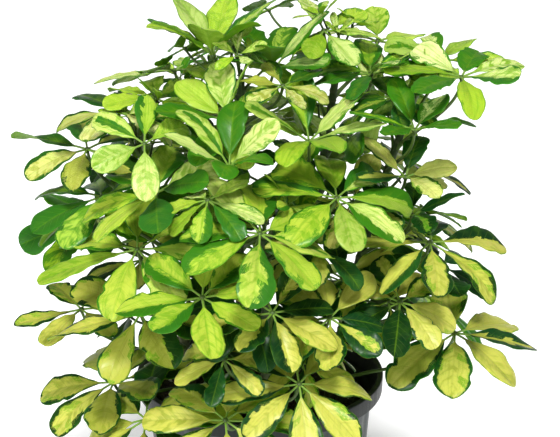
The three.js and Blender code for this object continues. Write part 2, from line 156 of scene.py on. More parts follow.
# Added small leaves: the angle in degrees from one to the next round a stem, and how far a stalk keeps
# to its directions at the two ends, as shares of its reach
GOLDEN_ANGLE = 137.5
SMALL_STALK_PULLS = (0.4, 0.3)

# Young shoot at a cane's tip: its leaves, and the bud's length, depth in the wood, rows and radius
SHOOT_LEAVES = 4
BUD_LENGTH = 15
BUD_DEPTH = 2
BUD_ROWS = 9
BUD_RADIUS = 2.9

# Leaflets, as in the solids
NECK = 0.17
FOLD = 0.2
WAVE = 0.022
TURN_SPREAD = 0.35
LENGTH_RANGE = (0.84, 1.06)
WIDTH_RANGE = (0.9, 1.1)
OPENING_RANGE = (-7, 7)
ARCH_RANGE = (6, 34)
ROLL_RANGE = (-25, 25)
FIRST_SEED = 17
SEED_STEP = 7919
LIFTS = [0, 8, -8, 16, -16, 24, -24, 32, -32, 40]
SHRINKS = [1, 0.8, 0.62]
SAME_PLACE = 0.3

# Each cane leans from its foot at the soil by way of a bow point to its tip, and carries its leaves.
# A leaf is (hub x, y, z, lean from upright, compass direction of the lean, leaflets, leaflet length,
# opening from the stalk's line, tone), in millimetres and degrees, as in the solids.
CANES = {
    "right": {
        "foot": (62, -18),
        "bow": (92, -34, 390),
        "tip": (156, -14, 548),
        "leaves": [
            (113, -12, 580, 12, -110, 7, 70, 80, "green"),
            (184, 2, 590, 10, -60, 6, 66, 72, "lime"),
            (202, -48, 588, 8, -95, 7, 74, 72, "lime"),
            (134, -54, 568, 10, -100, 6, 56, 84, "dark"),
            (154, -88, 546, 6, -80, 6, 68, 58, "green"),
            (147, -70, 490, 18, -90, 5, 64, 56, "gold"),
            (153, -88, 456, 16, -90, 5, 60, 50, "dark"),
            (170, -116, 438, 14, -60, 7, 86, 88, "gold"),
            (140, -140, 384, 22, -60, 7, 74, 88, "gold"),
            (200, -80, 324, 12, -40, 8, 102, 88, "gold"),
        ],
    },
    "left": {
        "foot": (-62, -16),
        "bow": (-84, -30, 370),
        "tip": (-124, -14, 506),
        "leaves": [
            (-105, 0, 550, 8, -90, 7, 64, 80, "lime"),
            (-142, -20, 543, 5, -95, 6, 80, 86, "gold"),
            (-176, -8, 498, 6, -110, 7, 82, 86, "gold"),
            (-101, -110, 488, 16, -120, 7, 84, 84, "lime"),
            (-160, -40, 458, 10, -110, 7, 90, 84, "green"),
            (-119, -140, 440, 16, -130, 7, 98, 86, "lime"),
            (-117, -146, 374, 22, -130, 7, 92, 86, "gold"),
            (-184, -46, 336, 12, -130, 6, 70, 88, "gold"),
            (-148, -106, 281, 18, -135, 7, 94, 88, "gold"),
        ],
    },
    "middle": {
        "foot": (-14, 6),
        "bow": (-26, -12, 410),
        "tip": (-18, -10, 572),
        "leaves": [
            (-46, -14, 600, 5, 180, 7, 88, 40, "lime"),
            (14, 12, 576, 6, -120, 7, 80, 60, "green"),
            (24, -64, 584, 14, -70, 6, 54, 86, "gold"),
            (-32, -70, 550, 14, -100, 7, 78, 62, "lime"),
            (-28, -136, 524, 14, -95, 6, 76, 44, "lime"),
            (-48, -168, 502, 14, -95, 8, 58, 102, "lime"),
        ],
    },
    "tall": {
        "foot": (28, 40),
        "bow": (58, 62, 410),
        "tip": (82, 34, 584),
        "leaves": [
            (66, 20, 616, 10, -90, 7, 66, 84, "lime"),
            (122, 56, 594, 10, -70, 6, 70, 82, "lime"),
            (50, -88, 534, 10, -90, 7, 78, 56, "lime"),
            (52, 122, 560, 22, 80, 6, 84, 84, "lime"),
            (118, 112, 530, 26, 55, 6, 84, 84, "green"),
            (160, 88, 450, 28, 30, 6, 84, 86, "gold"),
            (92, 182, 448, 32, 65, 6, 88, 88, "green"),
            (166, 132, 380, 34, 40, 7, 92, 88, "gold"),
            (70, 192, 356, 36, 70, 7, 90, 90, "gold"),
            (176, 76, 302, 34, 20, 6, 92, 90, "green"),
            (74, 168, 286, 42, 65, 5, 86, 90, "gold"),
        ],
    },
    "front": {
        "foot": (6, -56),
        "bow": (8, -108, 320),
        "tip": (6, -126, 446),
        "leaves": [
            (2, -190, 476, 26, -50, 8, 92, 86, "lime"),
            (77, -124, 488, 18, -60, 8, 84, 84, "lime"),
            (-53, -214, 420, 22, -95, 8, 80, 86, "lime"),
            (14, -200, 398, 30, -80, 8, 70, 86, "gold"),
            (70, -184, 386, 30, -75, 8, 74, 86, "gold"),
            (-33, -206, 352, 30, -100, 7, 52, 88, "gold"),
            (40, -208, 326, 32, -80, 8, 84, 88, "gold"),
            (-112, -174, 272, 28, -130, 8, 98, 90, "gold"),
            (-32, -214, 290, 32, -95, 8, 88, 88, "gold"),
        ],
    },
    "back": {
        "foot": (-34, 46),
        "bow": (-62, 96, 370),
        "tip": (-74, 104, 510),
        "leaves": [
            (-90, 96, 550, 16, 125, 6, 82, 82, "lime"),
            (-30, 112, 566, 16, 95, 6, 82, 82, "lime"),
            (-174, 30, 408, 16, -130, 7, 88, 86, "green"),
            (-90, 172, 460, 32, 115, 7, 86, 86, "gold"),
            (2, 190, 470, 32, 90, 7, 88, 86, "lime"),
            (-134, 140, 376, 36, 135, 7, 90, 90, "gold"),
            (-30, 200, 376, 36, 95, 7, 90, 90, "gold"),
        ],
    },
}

# Around a leaflet: shares of its half width, from one edge over the top to the other and back below
TOP_COLUMNS = [-1, -0.96, -0.8, -0.56, -0.3, -0.08, 0, 0.08, 0.3, 0.56, 0.8, 0.96, 1]
LOWER_COLUMNS = [0.88, 0.5, 0.1, 0, -0.1, -0.5, -0.88]
ACROSS = np.array(TOP_COLUMNS + LOWER_COLUMNS)
OVER = np.array([1.0] * len(TOP_COLUMNS) + [-1.0] * len(LOWER_COLUMNS))
NECK_ROWS = np.array([0, 0.05, 0.1, 0.145])
VEIN_SLANT = 0.2

# What each leaflet draws for itself, in this order: (least, how much may be added)
LEAFLET_DRAWS = {
    "seed": (0, 100),
    "bluntness": (0.42, 0.2),
    "taper": (0.8, 0.2),
    "scallops": (3, 4),
    "ripples": (2.2, 2),
    "droop": (0, 0.16),
}
NOTCHES_TO_A_SIDE = 3

# Heights between which leaves go from old and gold to young and lime, and how young they get
OLD_BELOW = 400
YOUNG_ABOVE = 560
MOST_YOUTH = 0.75

# Shade leaves: the number tried on each cane, the fewest leaflets that one may keep, where they start
# along the cane and over what share of it, the height at which a high one starts, how far a high one
# may reach from the pot's axis, the tones that are drawn from, the rows of a blade, and the seeds of
# the draws
SHADE_TRIES = 44
FEWEST_SHADE_LEAFLETS = 4
SHADE_STRETCH = (0.3, 0.66)
HIGH_SHADE_LEAF = 440
WIDEST_HIGH_SHADE_LEAF = 170
HIGH_SHADE_TONES = ("green", "lime", "green", "dark")
LOW_SHADE_TONES = ("dark", "green", "gold", "dark")
SHADE_BLADE_ROWS = 12
SHADE_SEED = 4000
SHADE_SEED_STEP = 31

# Studio: the floor's half size, the camera's sensor, how far the photograph's middle lies to the right
# of the rim's middle and above it in the picture, and the picture's gamma
FLOOR_HALF_SIZE = 30
SENSOR_WIDTH = 36
VIEW_MIDDLE = (0.0213, 0.1624)
VIEW_GAMMA = 0.9

# Lights: the point they face, the soft boxes as (name, place, width, height, power), where the even
# high light comes from, and its spread in degrees
CROWN_MIDDLE = (0, 0, 0.4)
SOFT_LIGHTS = [
    ("key_light", (-1.1, -1.7, 1.7), 0.7, 0.6, 34),
    ("fill_light", (1.9, -1.2, 1.1), 0.8, 0.8, 8),
]
HIGH_LIGHT_FROM = (0.12, -0.55, 1)
HIGH_LIGHT_SPREAD = 13

# Colours that no setting changes
# A cooler blue-green for the edges of some leaflets, partly their own tone and partly a painted bluish
# sheen
COOL_GREEN_AND_PAINTED_SHEEN = (0.014, 0.11, 0.026)
# The underside's colour: the blade's own paler green, brightened as painted light shining through it
PALE_UNDERSIDE_AND_PAINTED_BACKLIGHT = (0.24, 0.44, 0.02)
BLADE_FOOT_GREEN = (0.2, 0.33, 0.06)
OLIVE = (0.15, 0.22, 0.0)
STALK_DOTS = (0.1, 0.06, 0.025)
BARK_CRACKS = (0.035, 0.035, 0.015)
BARK_BLOOM = (0.12, 0.13, 0.06)
SCAR_BARK = (0.15, 0.15, 0.075)
BARK_PORES = (0.19, 0.17, 0.09)
DUST = (0.22, 0.18, 0.13)
SOIL_FIBRES = (0.1, 0.062, 0.035)
PERLITE = (0.62, 0.6, 0.55)
PERLITE_PITS = (0.24, 0.2, 0.16)

# The kinds of leaflet that each tone of leaf carries: (share of leaflets, yellow reach on one side,
# reach on the other side, patch colours changed round). A reach is how far the pale middle goes
# from the midrib, as a share of the half width; under 0 there is none and over 1 it is all pale.
PATTERNS = {
    "gold": [
        (0.34, 0.75, 0.75, 0),
        (0.14, 0.93, 0.93, 0),
        (0.08, 1.3, 1.3, 0),
        (0.18, 0.98, 0.22, 0),
        (0.1, 0.42, 0.36, 0),
        (0.16, -0.4, -0.4, 0),
    ],
    "lime": [
        (0.4, 1.3, 1.3, 0),
        (0.28, 0.9, 0.9, 0),
        (0.04, 0.3, 0.2, 1),
        (0.14, 0.95, 0.3, 0),
        (0.14, -0.4, -0.4, 0),
    ],
    "green": [
        (0.4, -0.4, -0.4, 0),
        (0.3, 0.55, 0.5, 0),
        (0.2, 0.85, 0.85, 0),
        (0.1, 1.3, 0.3, 0),
    ],
    "dark": [
        (0.68, -0.4, -0.4, 0),
        (0.2, 0.34, 0.2, 0),
        (0.12, 0.7, 0.1, 0),
    ],
}


def colour_setting(name, description, default):
    """A colour that a user may change."""
    return FloatVectorProperty(
        name=name, description=description, default=default, subtype="COLOR", min=0, max=1
    )


def length_setting(name, description, millimetres):
    """A length that a user may change, with its default in millimetres."""
    return FloatProperty(name=name, description=description, default=millimetres * MM, unit="LENGTH")


class LeafSettings(bpy.types.PropertyGroup):
    """Sizes of the leaflets and their stalks."""

    half_width: FloatProperty(
        name="Leaflet half width",
        description="Half the width of a leaflet as a share of its length",
        default=0.204,
        min=0.05,
        max=0.4,
    )
    blade_thickness: length_setting("Blade thickness", "Thickness of the blade between its veins", 0.55)
    midrib_height: length_setting("Midrib height", "How far the midrib stands out below the blade", 0.8)
    neck_radius: length_setting("Leaflet stalk radius", "Radius of the stalk from hub to blade", 1.05)
    blade_rows: IntProperty(
        name="Blade rows",
        description="Rows of faces along each blade",
        default=23,
        min=8,
        max=60,
    )
    side_veins: IntProperty(
        name="Side veins",
        description="Side veins on each half of a blade",
        default=8,
        min=3,
        max=14,
    )
    ripple: length_setting("Edge ripple", "Height of the small ripples along a blade's edges", 0.9)
    gold: colour_setting("Gold", "Pale middle of the gold leaflets", (0.495, 0.486, 0.1))
    lime: colour_setting("Lime", "Pale middle of the young lime leaflets", (0.335, 0.505, 0.024))
    cream: colour_setting("Cream", "Palest young leaflets", (0.82, 0.86, 0.46))
    green: colour_setting("Green", "Mid green patches and young edges", (0.056, 0.225, 0.007))
    dark: colour_setting("Dark green", "Dark green edges and old leaflets", (0.004, 0.03, 0.006))
    stalk: colour_setting("Stalk", "Colour of the leaf stalks", (0.055, 0.1, 0.018))


class CaneSettings(bpy.types.PropertyGroup):
    """Bark of the canes."""

    scar_spacing: length_setting("Scar spacing", "Distance from one leaf scar to the next", 17)
    scar_height: length_setting("Scar height", "How far a leaf scar's ring stands out of the bark", 0.55)
    young_bark: colour_setting("Young bark", "Green bark near the tips", (0.032, 0.075, 0.012))
    old_bark: colour_setting("Old bark", "Grey-brown bark near the soil", (0.08, 0.072, 0.038))


class PotSettings(bpy.types.PropertyGroup):
    """The nursery pot and its soil."""

    plastic: colour_setting("Plastic", "Colour of the pot", (0.045, 0.055, 0.056))
    rib_depth: length_setting("Rib depth", "How far the pot's wall goes in between its ribs", 1.8)
    soil: colour_setting("Soil", "Colour of the damp soil", (0.022, 0.014, 0.009))
    crumbs: IntProperty(
        name="Crumbs",
        description="Loose crumbs on the soil",
        default=1150,
        min=0,
        max=3000,
    )


class StageSettings(bpy.types.PropertyGroup):
    """Studio floor, lights and camera."""

    camera_distance: FloatProperty(
        name="Camera distance",
        description="From the camera to the point it looks at",
        default=2.6,
        unit="LENGTH",
    )
    camera_height_angle: FloatProperty(
        name="Camera height",
        description="The camera's angle above the horizon",
        default=math.radians(21),
        subtype="ANGLE",
    )
    lens: FloatProperty(
        name="Lens",
        description="Focal length in millimetres",
        default=157,
        min=20,
        max=400,
    )
    sky: FloatProperty(
        name="Surrounding light",
        description="Strength of the even white light from all round",
        default=0.27,
        min=0,
        max=4,
    )
    high_light: FloatProperty(
        name="High light",
        description="Strength of the even light from high in front",
        default=2.95,
        min=0,
        max=20,
    )
    floor: colour_setting("Floor", "Colour of the studio floor", (0.96, 0.96, 0.96))


def random_draws(seed):
    """The plant's own draws from 0 to 1: a 32-bit count is mixed by shifts and products, so that
    every run has the same ones."""
    word = 0xFFFFFFFF
    state = seed & word
    while True:
        state = (state + 0x6D2B79F5) & word
        mixed = ((state ^ state >> 15) * (state | 1)) & word
        mixed ^= (mixed + ((mixed ^ mixed >> 7) * (mixed | 61))) & word
        yield ((mixed ^ mixed >> 14) & word) / 2**32


def vector(*numbers):
    """Numbers as one array."""
    return np.array(numbers, float)


def unit(rows):
    """Rows of vectors brought to length one."""
    return rows / np.linalg.norm(rows, axis=-1, keepdims=True)


def smooth(value, start, end):
    """Goes from 0 at start to 1 at end, level at both ends: t times t times (3 minus 2t)."""
    t = np.clip((value - start) / (end - start), 0, 1)
    return t * t * (3 - 2 * t)


def leaning(lean, compass):
    """A direction from its lean away from upright and its compass direction, in degrees."""
    lean, compass = math.radians(lean), math.radians(compass)
    return vector(math.sin(lean) * math.cos(compass), math.sin(lean) * math.sin(compass), math.cos(lean))


def once_round(count):
    """Angles at even steps once round."""
    return np.linspace(0, 2 * np.pi, count, endpoint=False)


def per_point(rings, *numbers):
    """Numbers for every point of a grid of rings: each is spread over the grid, and they are stacked."""
    return np.stack([np.broadcast_to(number, rings.shape[:2]) for number in numbers], -1)


def changed(thing, **values):
    """A copy of a set of named values, with some of them changed."""
    return SimpleNamespace(**{**vars(thing), **values})


def wrapped_quads(rows, columns):
    """The four corners of each face of a grid of points that is wrapped round."""
    row, column = np.meshgrid(np.arange(rows - 1), np.arange(columns), indexing="ij")
    here, beside = row * columns + column, row * columns + (column + 1) % columns
    return np.stack([here, beside, beside + columns, here + columns], -1).reshape(-1, 4)


class Skin:
    """Collects closed skins, each a grid of points wrapped round and capped at both ends, with
    numbers per point, and turns them into one mesh."""

    def __init__(self):
        self.points, self.faces, self.materials = [], [], []
        self.places, self.tones, self.ages = [], [], []
        self.count = 0

    def add(self, rings, place, tone, material=0, age=0.0):
        """rings is (rows, columns, 3). Each end is closed by a point at its ring's middle. place and
        tone are three numbers for every point or one for all, and age is one for the whole skin."""
        rows, columns = rings.shape[:2]
        for kept, values in ((self.points, rings), (self.places, place), (self.tones, tone)):
            values = np.broadcast_to(values, rings.shape)
            kept.append(np.concatenate([values.reshape(-1, 3), values[[0, -1]].mean(1)]))
        self.ages.append(np.full(rows * columns + 2, age))
        here = np.arange(columns)
        after = (here + 1) % columns
        last = (rows - 1) * columns
        first_cap = np.stack([np.full(columns, rows * columns), after, here], -1)
        last_cap = np.stack([np.full(columns, rows * columns + 1), last + here, last + after], -1)
        for faces in (wrapped_quads(rows, columns), first_cap, last_cap):
            self.faces.append(faces + self.count)
            self.materials.append(np.full(len(faces), material))
        self.count += rows * columns + 2

    def mesh(self):
        """One smooth mesh in metres, with the attributes that the materials read."""
        mesh = bpy.data.meshes.new("skin")
        points = np.concatenate(self.points) * MM
        sizes = np.concatenate([np.full(len(faces), faces.shape[1]) for faces in self.faces])
        corners = np.concatenate([faces.ravel() for faces in self.faces])
        starts = np.concatenate([[0], np.cumsum(sizes)[:-1]])
        mesh.vertices.add(len(points))
        mesh.vertices.foreach_set("co", points.ravel())
        mesh.loops.add(len(corners))
        mesh.loops.foreach_set("vertex_index", corners.astype(np.int32))
        mesh.polygons.add(len(sizes))
        mesh.polygons.foreach_set("loop_start", starts.astype(np.int32))
        mesh.polygons.foreach_set("material_index", np.concatenate(self.materials).astype(np.int32))
        mesh.polygons.foreach_set("use_smooth", np.full(len(sizes), True))
        for label, values in (("place", self.places), ("tone", self.tones)):
            attribute = mesh.attributes.new(label, "FLOAT_VECTOR", "POINT")
            attribute.data.foreach_set("vector", np.concatenate(values).astype(np.float32).ravel())
        attribute = mesh.attributes.new("age", "FLOAT", "POINT")
        attribute.data.foreach_set("value", np.concatenate(self.ages).astype(np.float32))
        mesh.update()
        mesh.validate()
        return mesh


def add_object(name, data):
    """A new object in the scene, at the origin."""
    thing = bpy.data.objects.new(name, data)
    bpy.context.scene.collection.objects.link(thing)
    return thing


def add_piece(name, mesh, materials, nodes=()):
    """A finished piece of the plant: it rides on the plant's body and stands for its CAD nodes."""
    mesh.name = name
    for material in materials:
        mesh.materials.append(material)
    piece = add_object(name, mesh)
    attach(piece, "root")
    if nodes:
        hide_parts(*nodes)


def tube(path, radius, columns, plane):
    """Rings round a path. plane is a direction that the path never follows, such as the normal of
    the plane it bends in: a ring's first direction is that one squared to the path, its second is
    square to both, and a point is the centre plus radius times cosine and sine along the two."""
    tangent = unit(np.gradient(path, axis=0))
    first = unit(plane - (tangent @ plane)[:, None] * tangent)
    second = np.cross(tangent, first)
    angle = once_round(columns)
    reach = np.asarray(radius, float)
    reach = np.broadcast_to(reach[:, None] if reach.ndim == 1 else reach, (len(path), columns))
    outward = first[:, None] * np.cos(angle)[:, None] + second[:, None] * np.sin(angle)[:, None]
    return path[:, None] + reach[..., None] * outward


def cane_points(cane, along):
    """A cane's centre line: a quadratic curve from its foot by way of its bow to its tip."""
    foot = vector(*cane["foot"], SOIL_TOP - CANE_BURIED)
    t = np.asarray(along, float)[..., None]
    return foot * (1 - t) ** 2 + vector(*cane["bow"]) * 2 * t * (1 - t) + vector(*cane["tip"]) * t**2


def within_leafy_stretch(along):
    """A place along a cane, kept to the stretch that bears leaves."""
    return min(max(along, LOWEST_LEAF_SCAR), HIGHEST_LEAF_SCAR)


def cane_along(cane, height):
    """How far along its curve a cane reaches a height: the root of the curve's height."""
    start = SOIL_TOP - CANE_BURIED
    bend = start - 2 * cane["bow"][2] + cane["tip"][2]
    rise = 2 * (cane["bow"][2] - start)
    under_root = rise * rise + 4 * bend * (height - start)
    return (math.sqrt(max(under_root, 0)) - rise) / (2 * bend)


def stalk_curve(start, away, hub, axis, span, pulls):
    """The four corners of a cubic curve that leaves its start one way and comes to the hub along the
    leaf's axis. The pulls are how far it keeps to each, as shares of its span."""
    return start, start + pulls[0] * span * away, hub - pulls[1] * span * axis, hub


def stalk_corners(cane, hub, axis, place):
    """The corners of a packed leaf's stalk, which leaves its cane at a slant. place moves its start
    along the cane."""
    reach = math.hypot(hub[0] - cane["bow"][0], hub[1] - cane["bow"][1])
    height = hub[2] - STALK_DROP - STALK_RISE * reach
    along = within_leafy_stretch(within_leafy_stretch(cane_along(cane, height)) + place)
    start = cane_points(cane, along)
    span = np.linalg.norm(hub - start)
    away = hub - start
    away[2] = STALK_FIRST_CLIMB * span + STALK_CLIMB_KEPT * max(away[2], 0)
    return stalk_curve(start, unit(away), hub, axis, span, (STALK_START_PULL, STALK_END_PULL))


def cubic(corners, along):
    """Points on a cubic curve with four corners."""
    t = np.asarray(along, float)[..., None]
    shares = ((1 - t) ** 3, 3 * t * (1 - t) ** 2, 3 * t * t * (1 - t), t**3)
    return sum(corner * share for corner, share in zip(corners, shares))


def leaflet_frame(leaflet, along):
    """A leaflet's centre line with its across and up directions. The line is an arc that leaves the
    leaf's axis at the opening angle and turns by the arch; the two directions roll as it goes."""
    start = math.radians(leaflet.opening)
    turn = start + math.radians(leaflet.arch) * along
    scale = leaflet.length / math.radians(leaflet.arch)
    outward, axis = leaflet.outward, leaflet.axis
    centre = (
        leaflet.hub
        + outward * (scale * (math.cos(start) - np.cos(turn)))[:, None]
        + axis * (scale * (np.sin(turn) - math.sin(start)))[:, None]
    )
    across = np.cross(outward, axis)
    up = axis * np.sin(turn)[:, None] - outward * np.cos(turn)[:, None]
    roll = math.radians(leaflet.roll) * along[:, None]
    return centre, across * np.cos(roll) + up * np.sin(roll), up * np.cos(roll) - across * np.sin(roll)


def plan_leaflets(leaf):
    """The leaflets that a leaf's own draws give it, as in the solids."""
    draw = random_draws(leaf.seed)
    level = unit(np.cross(leaf.axis, vector(0, 0, 1)))
    first_turn = 360 * next(draw)
    leaflets = []
    for index in range(leaf.count):
        turn = math.radians(first_turn + 360 * (index + TURN_SPREAD * (next(draw) - 0.5)) / leaf.count)
        outward = level * math.cos(turn) + np.cross(leaf.axis, level) * math.sin(turn)
        length, width, opening, arch, roll = (
            least + (most - least) * next(draw)
            for least, most in (LENGTH_RANGE, WIDTH_RANGE, OPENING_RANGE, ARCH_RANGE, ROLL_RANGE)
        )
        leaflets.append(
            SimpleNamespace(
                hub=leaf.hub,
                axis=leaf.axis,
                outward=outward,
                length=leaf.length * length,
                width=leaf.length * width,
                opening=leaf.opening + opening,
                arch=arch,
                roll=roll,
                phase=2 * math.pi * next(draw),
            )
        )
    return leaflets


def moved_leaflet(leaflet, lift, shrink):
    """A leaflet opened less by its lift, and made smaller."""
    return changed(
        leaflet,
        opening=leaflet.opening - lift,
        length=leaflet.length * shrink,
        width=leaflet.width * shrink,
    )


def node_points(name):
    """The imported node's points in millimetres."""
    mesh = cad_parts[name].data
    points = np.empty(len(mesh.vertices) * 3, np.float32)
    mesh.vertices.foreach_get("co", points)
    return points.reshape(-1, 3).astype(float) / MM


def as_packed(leaflet, solid_points):
    """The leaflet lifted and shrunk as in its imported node, found by its tip, or None if the node
    goes without it."""
    for shrink in SHRINKS:
        for lift in LIFTS:
            moved = moved_leaflet(leaflet, lift, shrink)
            tip = leaflet_frame(moved, np.ones(1))[0][0]
            if np.linalg.norm(solid_points - tip, axis=1).min() < SAME_PLACE:
                return moved
    return None


def packed_stalk(cane, leaf, solid_points):
    """The stalk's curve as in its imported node, found by the ring a third of the way along it."""
    radius = STALK_RADIUS * (STALK_FLARE * 2 + 1) / 3
    misses = []
    for steps in STALK_STEPS_TRIED:
        corners = stalk_corners(cane, leaf.hub, leaf.axis, steps * STALK_STEP_ALONG)
        ring_centre = cubic(corners, 1 / 3)
        away = np.abs(np.linalg.norm(solid_points - ring_centre, axis=1) - radius)
        misses.append((np.sort(away)[3], steps, corners))
    return min(misses, key=lambda miss: miss[0])[2]


def blade_outline(settings, leaflet, blade, side):
    """Half the blade's width along it: the place to one power times what is left to another, so that
    it is wedge-shaped at the stalk, widest past the middle and blunt at the tip. A few notches and
    scallops cut it."""
    place = np.clip(blade, 0, 1)
    base, tip = leaflet.taper, leaflet.bluntness
    widest = base / (base + tip)
    swell = place**base * (1 - place) ** tip / (widest**base * (1 - widest) ** tip)
    half = settings.half_width * leaflet.width * swell
    for notch, depth, spread in leaflet.notches[side]:
        half *= 1 - depth * np.exp(-(((blade - notch) / spread) ** 2))
    return half * (1 + 0.006 * np.sin(2 * np.pi * leaflet.scallops * blade + leaflet.phase * side))


def leaflet_rings(settings, leaflet):
    """A leaflet as rings of points: a round stalk that flattens into a thin blade. Across the blade
    its height is a crease that rises from the midrib, a slow wave and quick ripples that grow to
    the edges, and a quilting between the side veins. Along it the tip curls down by a power of the
    place, and the blade twists. The midrib stands out below."""
    step = np.linspace(0, 1, settings.blade_rows + 1)
    blade_rows = np.minimum(0.45 * step + 0.275 * (1 - np.cos(np.pi * step)), 0.998)
    along = np.concatenate([NECK_ROWS, NECK + (1 - NECK) * blade_rows])
    blade = (along - NECK) / (1 - NECK)
    centre, across, up = leaflet_frame(leaflet, along)
    share = np.abs(ACROSS)
    side = np.where(ACROSS < 0, 0, 1)
    outline = np.stack([blade_outline(settings, leaflet, blade, one) for one in (-1, 1)])
    neck = settings.neck_radius / MM * np.clip(1 - blade, 0, 1) ** 2
    half = np.hypot(outline[side].T, neck[:, None])
    grown = np.clip(blade, 0, 1)[:, None]

    # Height of the blade's middle layer: crease, slow wave, ripples, quilting, droop, curl and twist
    lift = FOLD * half * (share - 0.24 * share**3) * smooth(grown, 0, 0.15)
    swing = 2 * np.pi * along[:, None] + leaflet.phase + np.sign(ACROSS)
    lift += WAVE * leaflet.length * np.sin(swing) * share**1.6 * smooth(grown, 0, 0.2)
    quick = 2 * np.pi * leaflet.ripples * grown + 3 * leaflet.phase + 2 * np.sign(ACROSS)
    lift += settings.ripple / MM * np.sin(quick) * share**3 * 4 * grown * (1 - grown)
    veins = np.cos(2 * np.pi * settings.side_veins * (grown - VEIN_SLANT * share))
    lift -= 0.2 * veins * np.sin(np.pi * share) * smooth(grown, 0, 0.15) * (1 - grown)
    lift -= leaflet.droop * half * share**4
    lift -= leaflet.curl * leaflet.length * np.clip((grown - 0.35) / 0.65, 0, 1) ** 2.4
    lift += leaflet.twist * ACROSS * half * smooth(grown, 0.3, 1)

    # Upper and lower face: a thin blade with its midrib, or the round stalk where it starts
    from_rib = share * half
    thin = settings.blade_thickness / MM / 2 * np.sqrt(1 - share**6)
    ridge = settings.midrib_height / MM * np.exp(-((from_rib / 0.9) ** 2)) * (1 - 0.8 * grown)
    groove = 0.25 * np.exp(-((from_rib / 0.8) ** 2)) * (1 - grown)
    blade_height = np.where(OVER > 0, thin - groove, -thin - ridge)
    stalk_height = neck[:, None] * np.sqrt(1 - share**2) * OVER
    flat = smooth(blade[:, None], -0.02, 0.12)
    height = lift + flat * blade_height + (1 - flat) * stalk_height
    level = centre[:, None] + across[:, None] * (ACROSS * half)[..., None]
    rings = level + up[:, None] * height[..., None]

    # What the leaf material reads at every point
    place = per_point(rings, ACROSS, blade[:, None], leaflet.seed)
    reach = np.array(leaflet.reaches)[side]
    below = np.where(share == 1, 0.5, OVER < 0)
    return rings, place, per_point(rings, reach, leaflet.swapped, below)


def detail_leaflet(leaflet, draw, patterns):
    """Gives a leaflet its own notches, ripples, bluntness and leaf pattern, by its draws."""
    for name, (least, more) in LEAFLET_DRAWS.items():
        setattr(leaflet, name, least + more * next(draw))
    leaflet.curl = 0.13 * next(draw) ** 1.5 - 0.02
    leaflet.twist = 0.7 * (next(draw) - 0.5)
    leaflet.youth = 0.3 * (next(draw) - 0.5)
    pick = next(draw)
    for share, one, other, swapped in patterns:
        pick -= share
        if pick <= 0:
            break
    flip = next(draw) < 0.5
    one, other = (reach + 0.2 * (next(draw) - 0.5) for reach in (one, other))
    leaflet.reaches = (other, one) if flip else (one, other)
    leaflet.swapped = swapped
    cut = 0.2 if one * other > 0 and min(one, other) < 1.1 else 0.06
    leaflet.notches = {
        side: [
            (0.45 + 0.5 * next(draw), cut * next(draw) ** 1.5, 0.02 + 0.05 * next(draw))
            for _ in range(NOTCHES_TO_A_SIDE)
        ]
        for side in (-1, 1)
    }
    return leaflet


def leaf_youth(leaf):
    """Leaves high in the crown are young and lime, and those low down are old and gold."""
    return MOST_YOUTH * smooth(leaf.hub[2], OLD_BELOW, YOUNG_ABOVE)


def add_umbrella(skin, settings, leaf):
    """One umbrella leaf: its stalk on a cubic curve, a knob of a hub along the leaf's axis, and its
    leaflets. The stalk is thickest where it clasps the cane."""
    along = np.linspace(0, 1, STALK_ROWS)
    across = leaf.corners[3] - leaf.corners[0]
    walked = along * np.linalg.norm(across)
    clasp = CLASP_SWELL * np.exp(-walked / CLASP_LENGTH)
    radius = leaf.stalk_radius * (STALK_FLARE + (1 - STALK_FLARE) * along) + clasp
    plane = unit(np.cross(across, NO_STALK_THIS_WAY))
    rings = tube(cubic(leaf.corners, along), radius, STALK_COLUMNS, plane)
    place = per_point(rings, np.arange(STALK_COLUMNS), walked[:, None], leaf.number)
    skin.add(rings, place, 0, material=1)
    knob = KNOB * leaf.stalk_radius / STALK_RADIUS
    spine = leaf.hub + leaf.axis * knob[:, :1]
    plane = unit(np.cross(leaf.axis, vector(1, 0.3, 0)))
    skin.add(tube(spine, knob[:, 1], KNOB_COLUMNS, plane), 1, 0, material=1)
    for leaflet in leaf.leaflets:
        skin.add(*leaflet_rings(settings, leaflet), age=leaf_youth(leaf) + leaflet.youth)


def packed_leaves():
    """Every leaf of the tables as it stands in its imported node, in the solids' order."""
    leaves = []
    for cane_name, cane in CANES.items():
        for index, row in enumerate(cane["leaves"]):
            x, y, z, lean, compass, count, length, opening, tone = row
            leaf = SimpleNamespace(
                node=f"leaf_{cane_name}_{index + 1}",
                number=len(leaves),
                hub=vector(x, y, z),
                axis=leaning(lean, compass),
                seed=FIRST_SEED + SEED_STEP * len(leaves),
                count=count,
                length=length,
                opening=opening,
                tone=tone,
                stalk_radius=STALK_RADIUS,
            )
            solid_points = node_points(leaf.node)
            found = [as_packed(leaflet, solid_points) for leaflet in plan_leaflets(leaf)]
            draw = random_draws(leaf.seed + 1)
            patterns = PATTERNS[tone]
            leaf.leaflets = [detail_leaflet(leaflet, draw, patterns) for leaflet in found if leaflet]
            leaf.corners = packed_stalk(cane, leaf, solid_points)
            leaves.append(leaf)
    return leaves


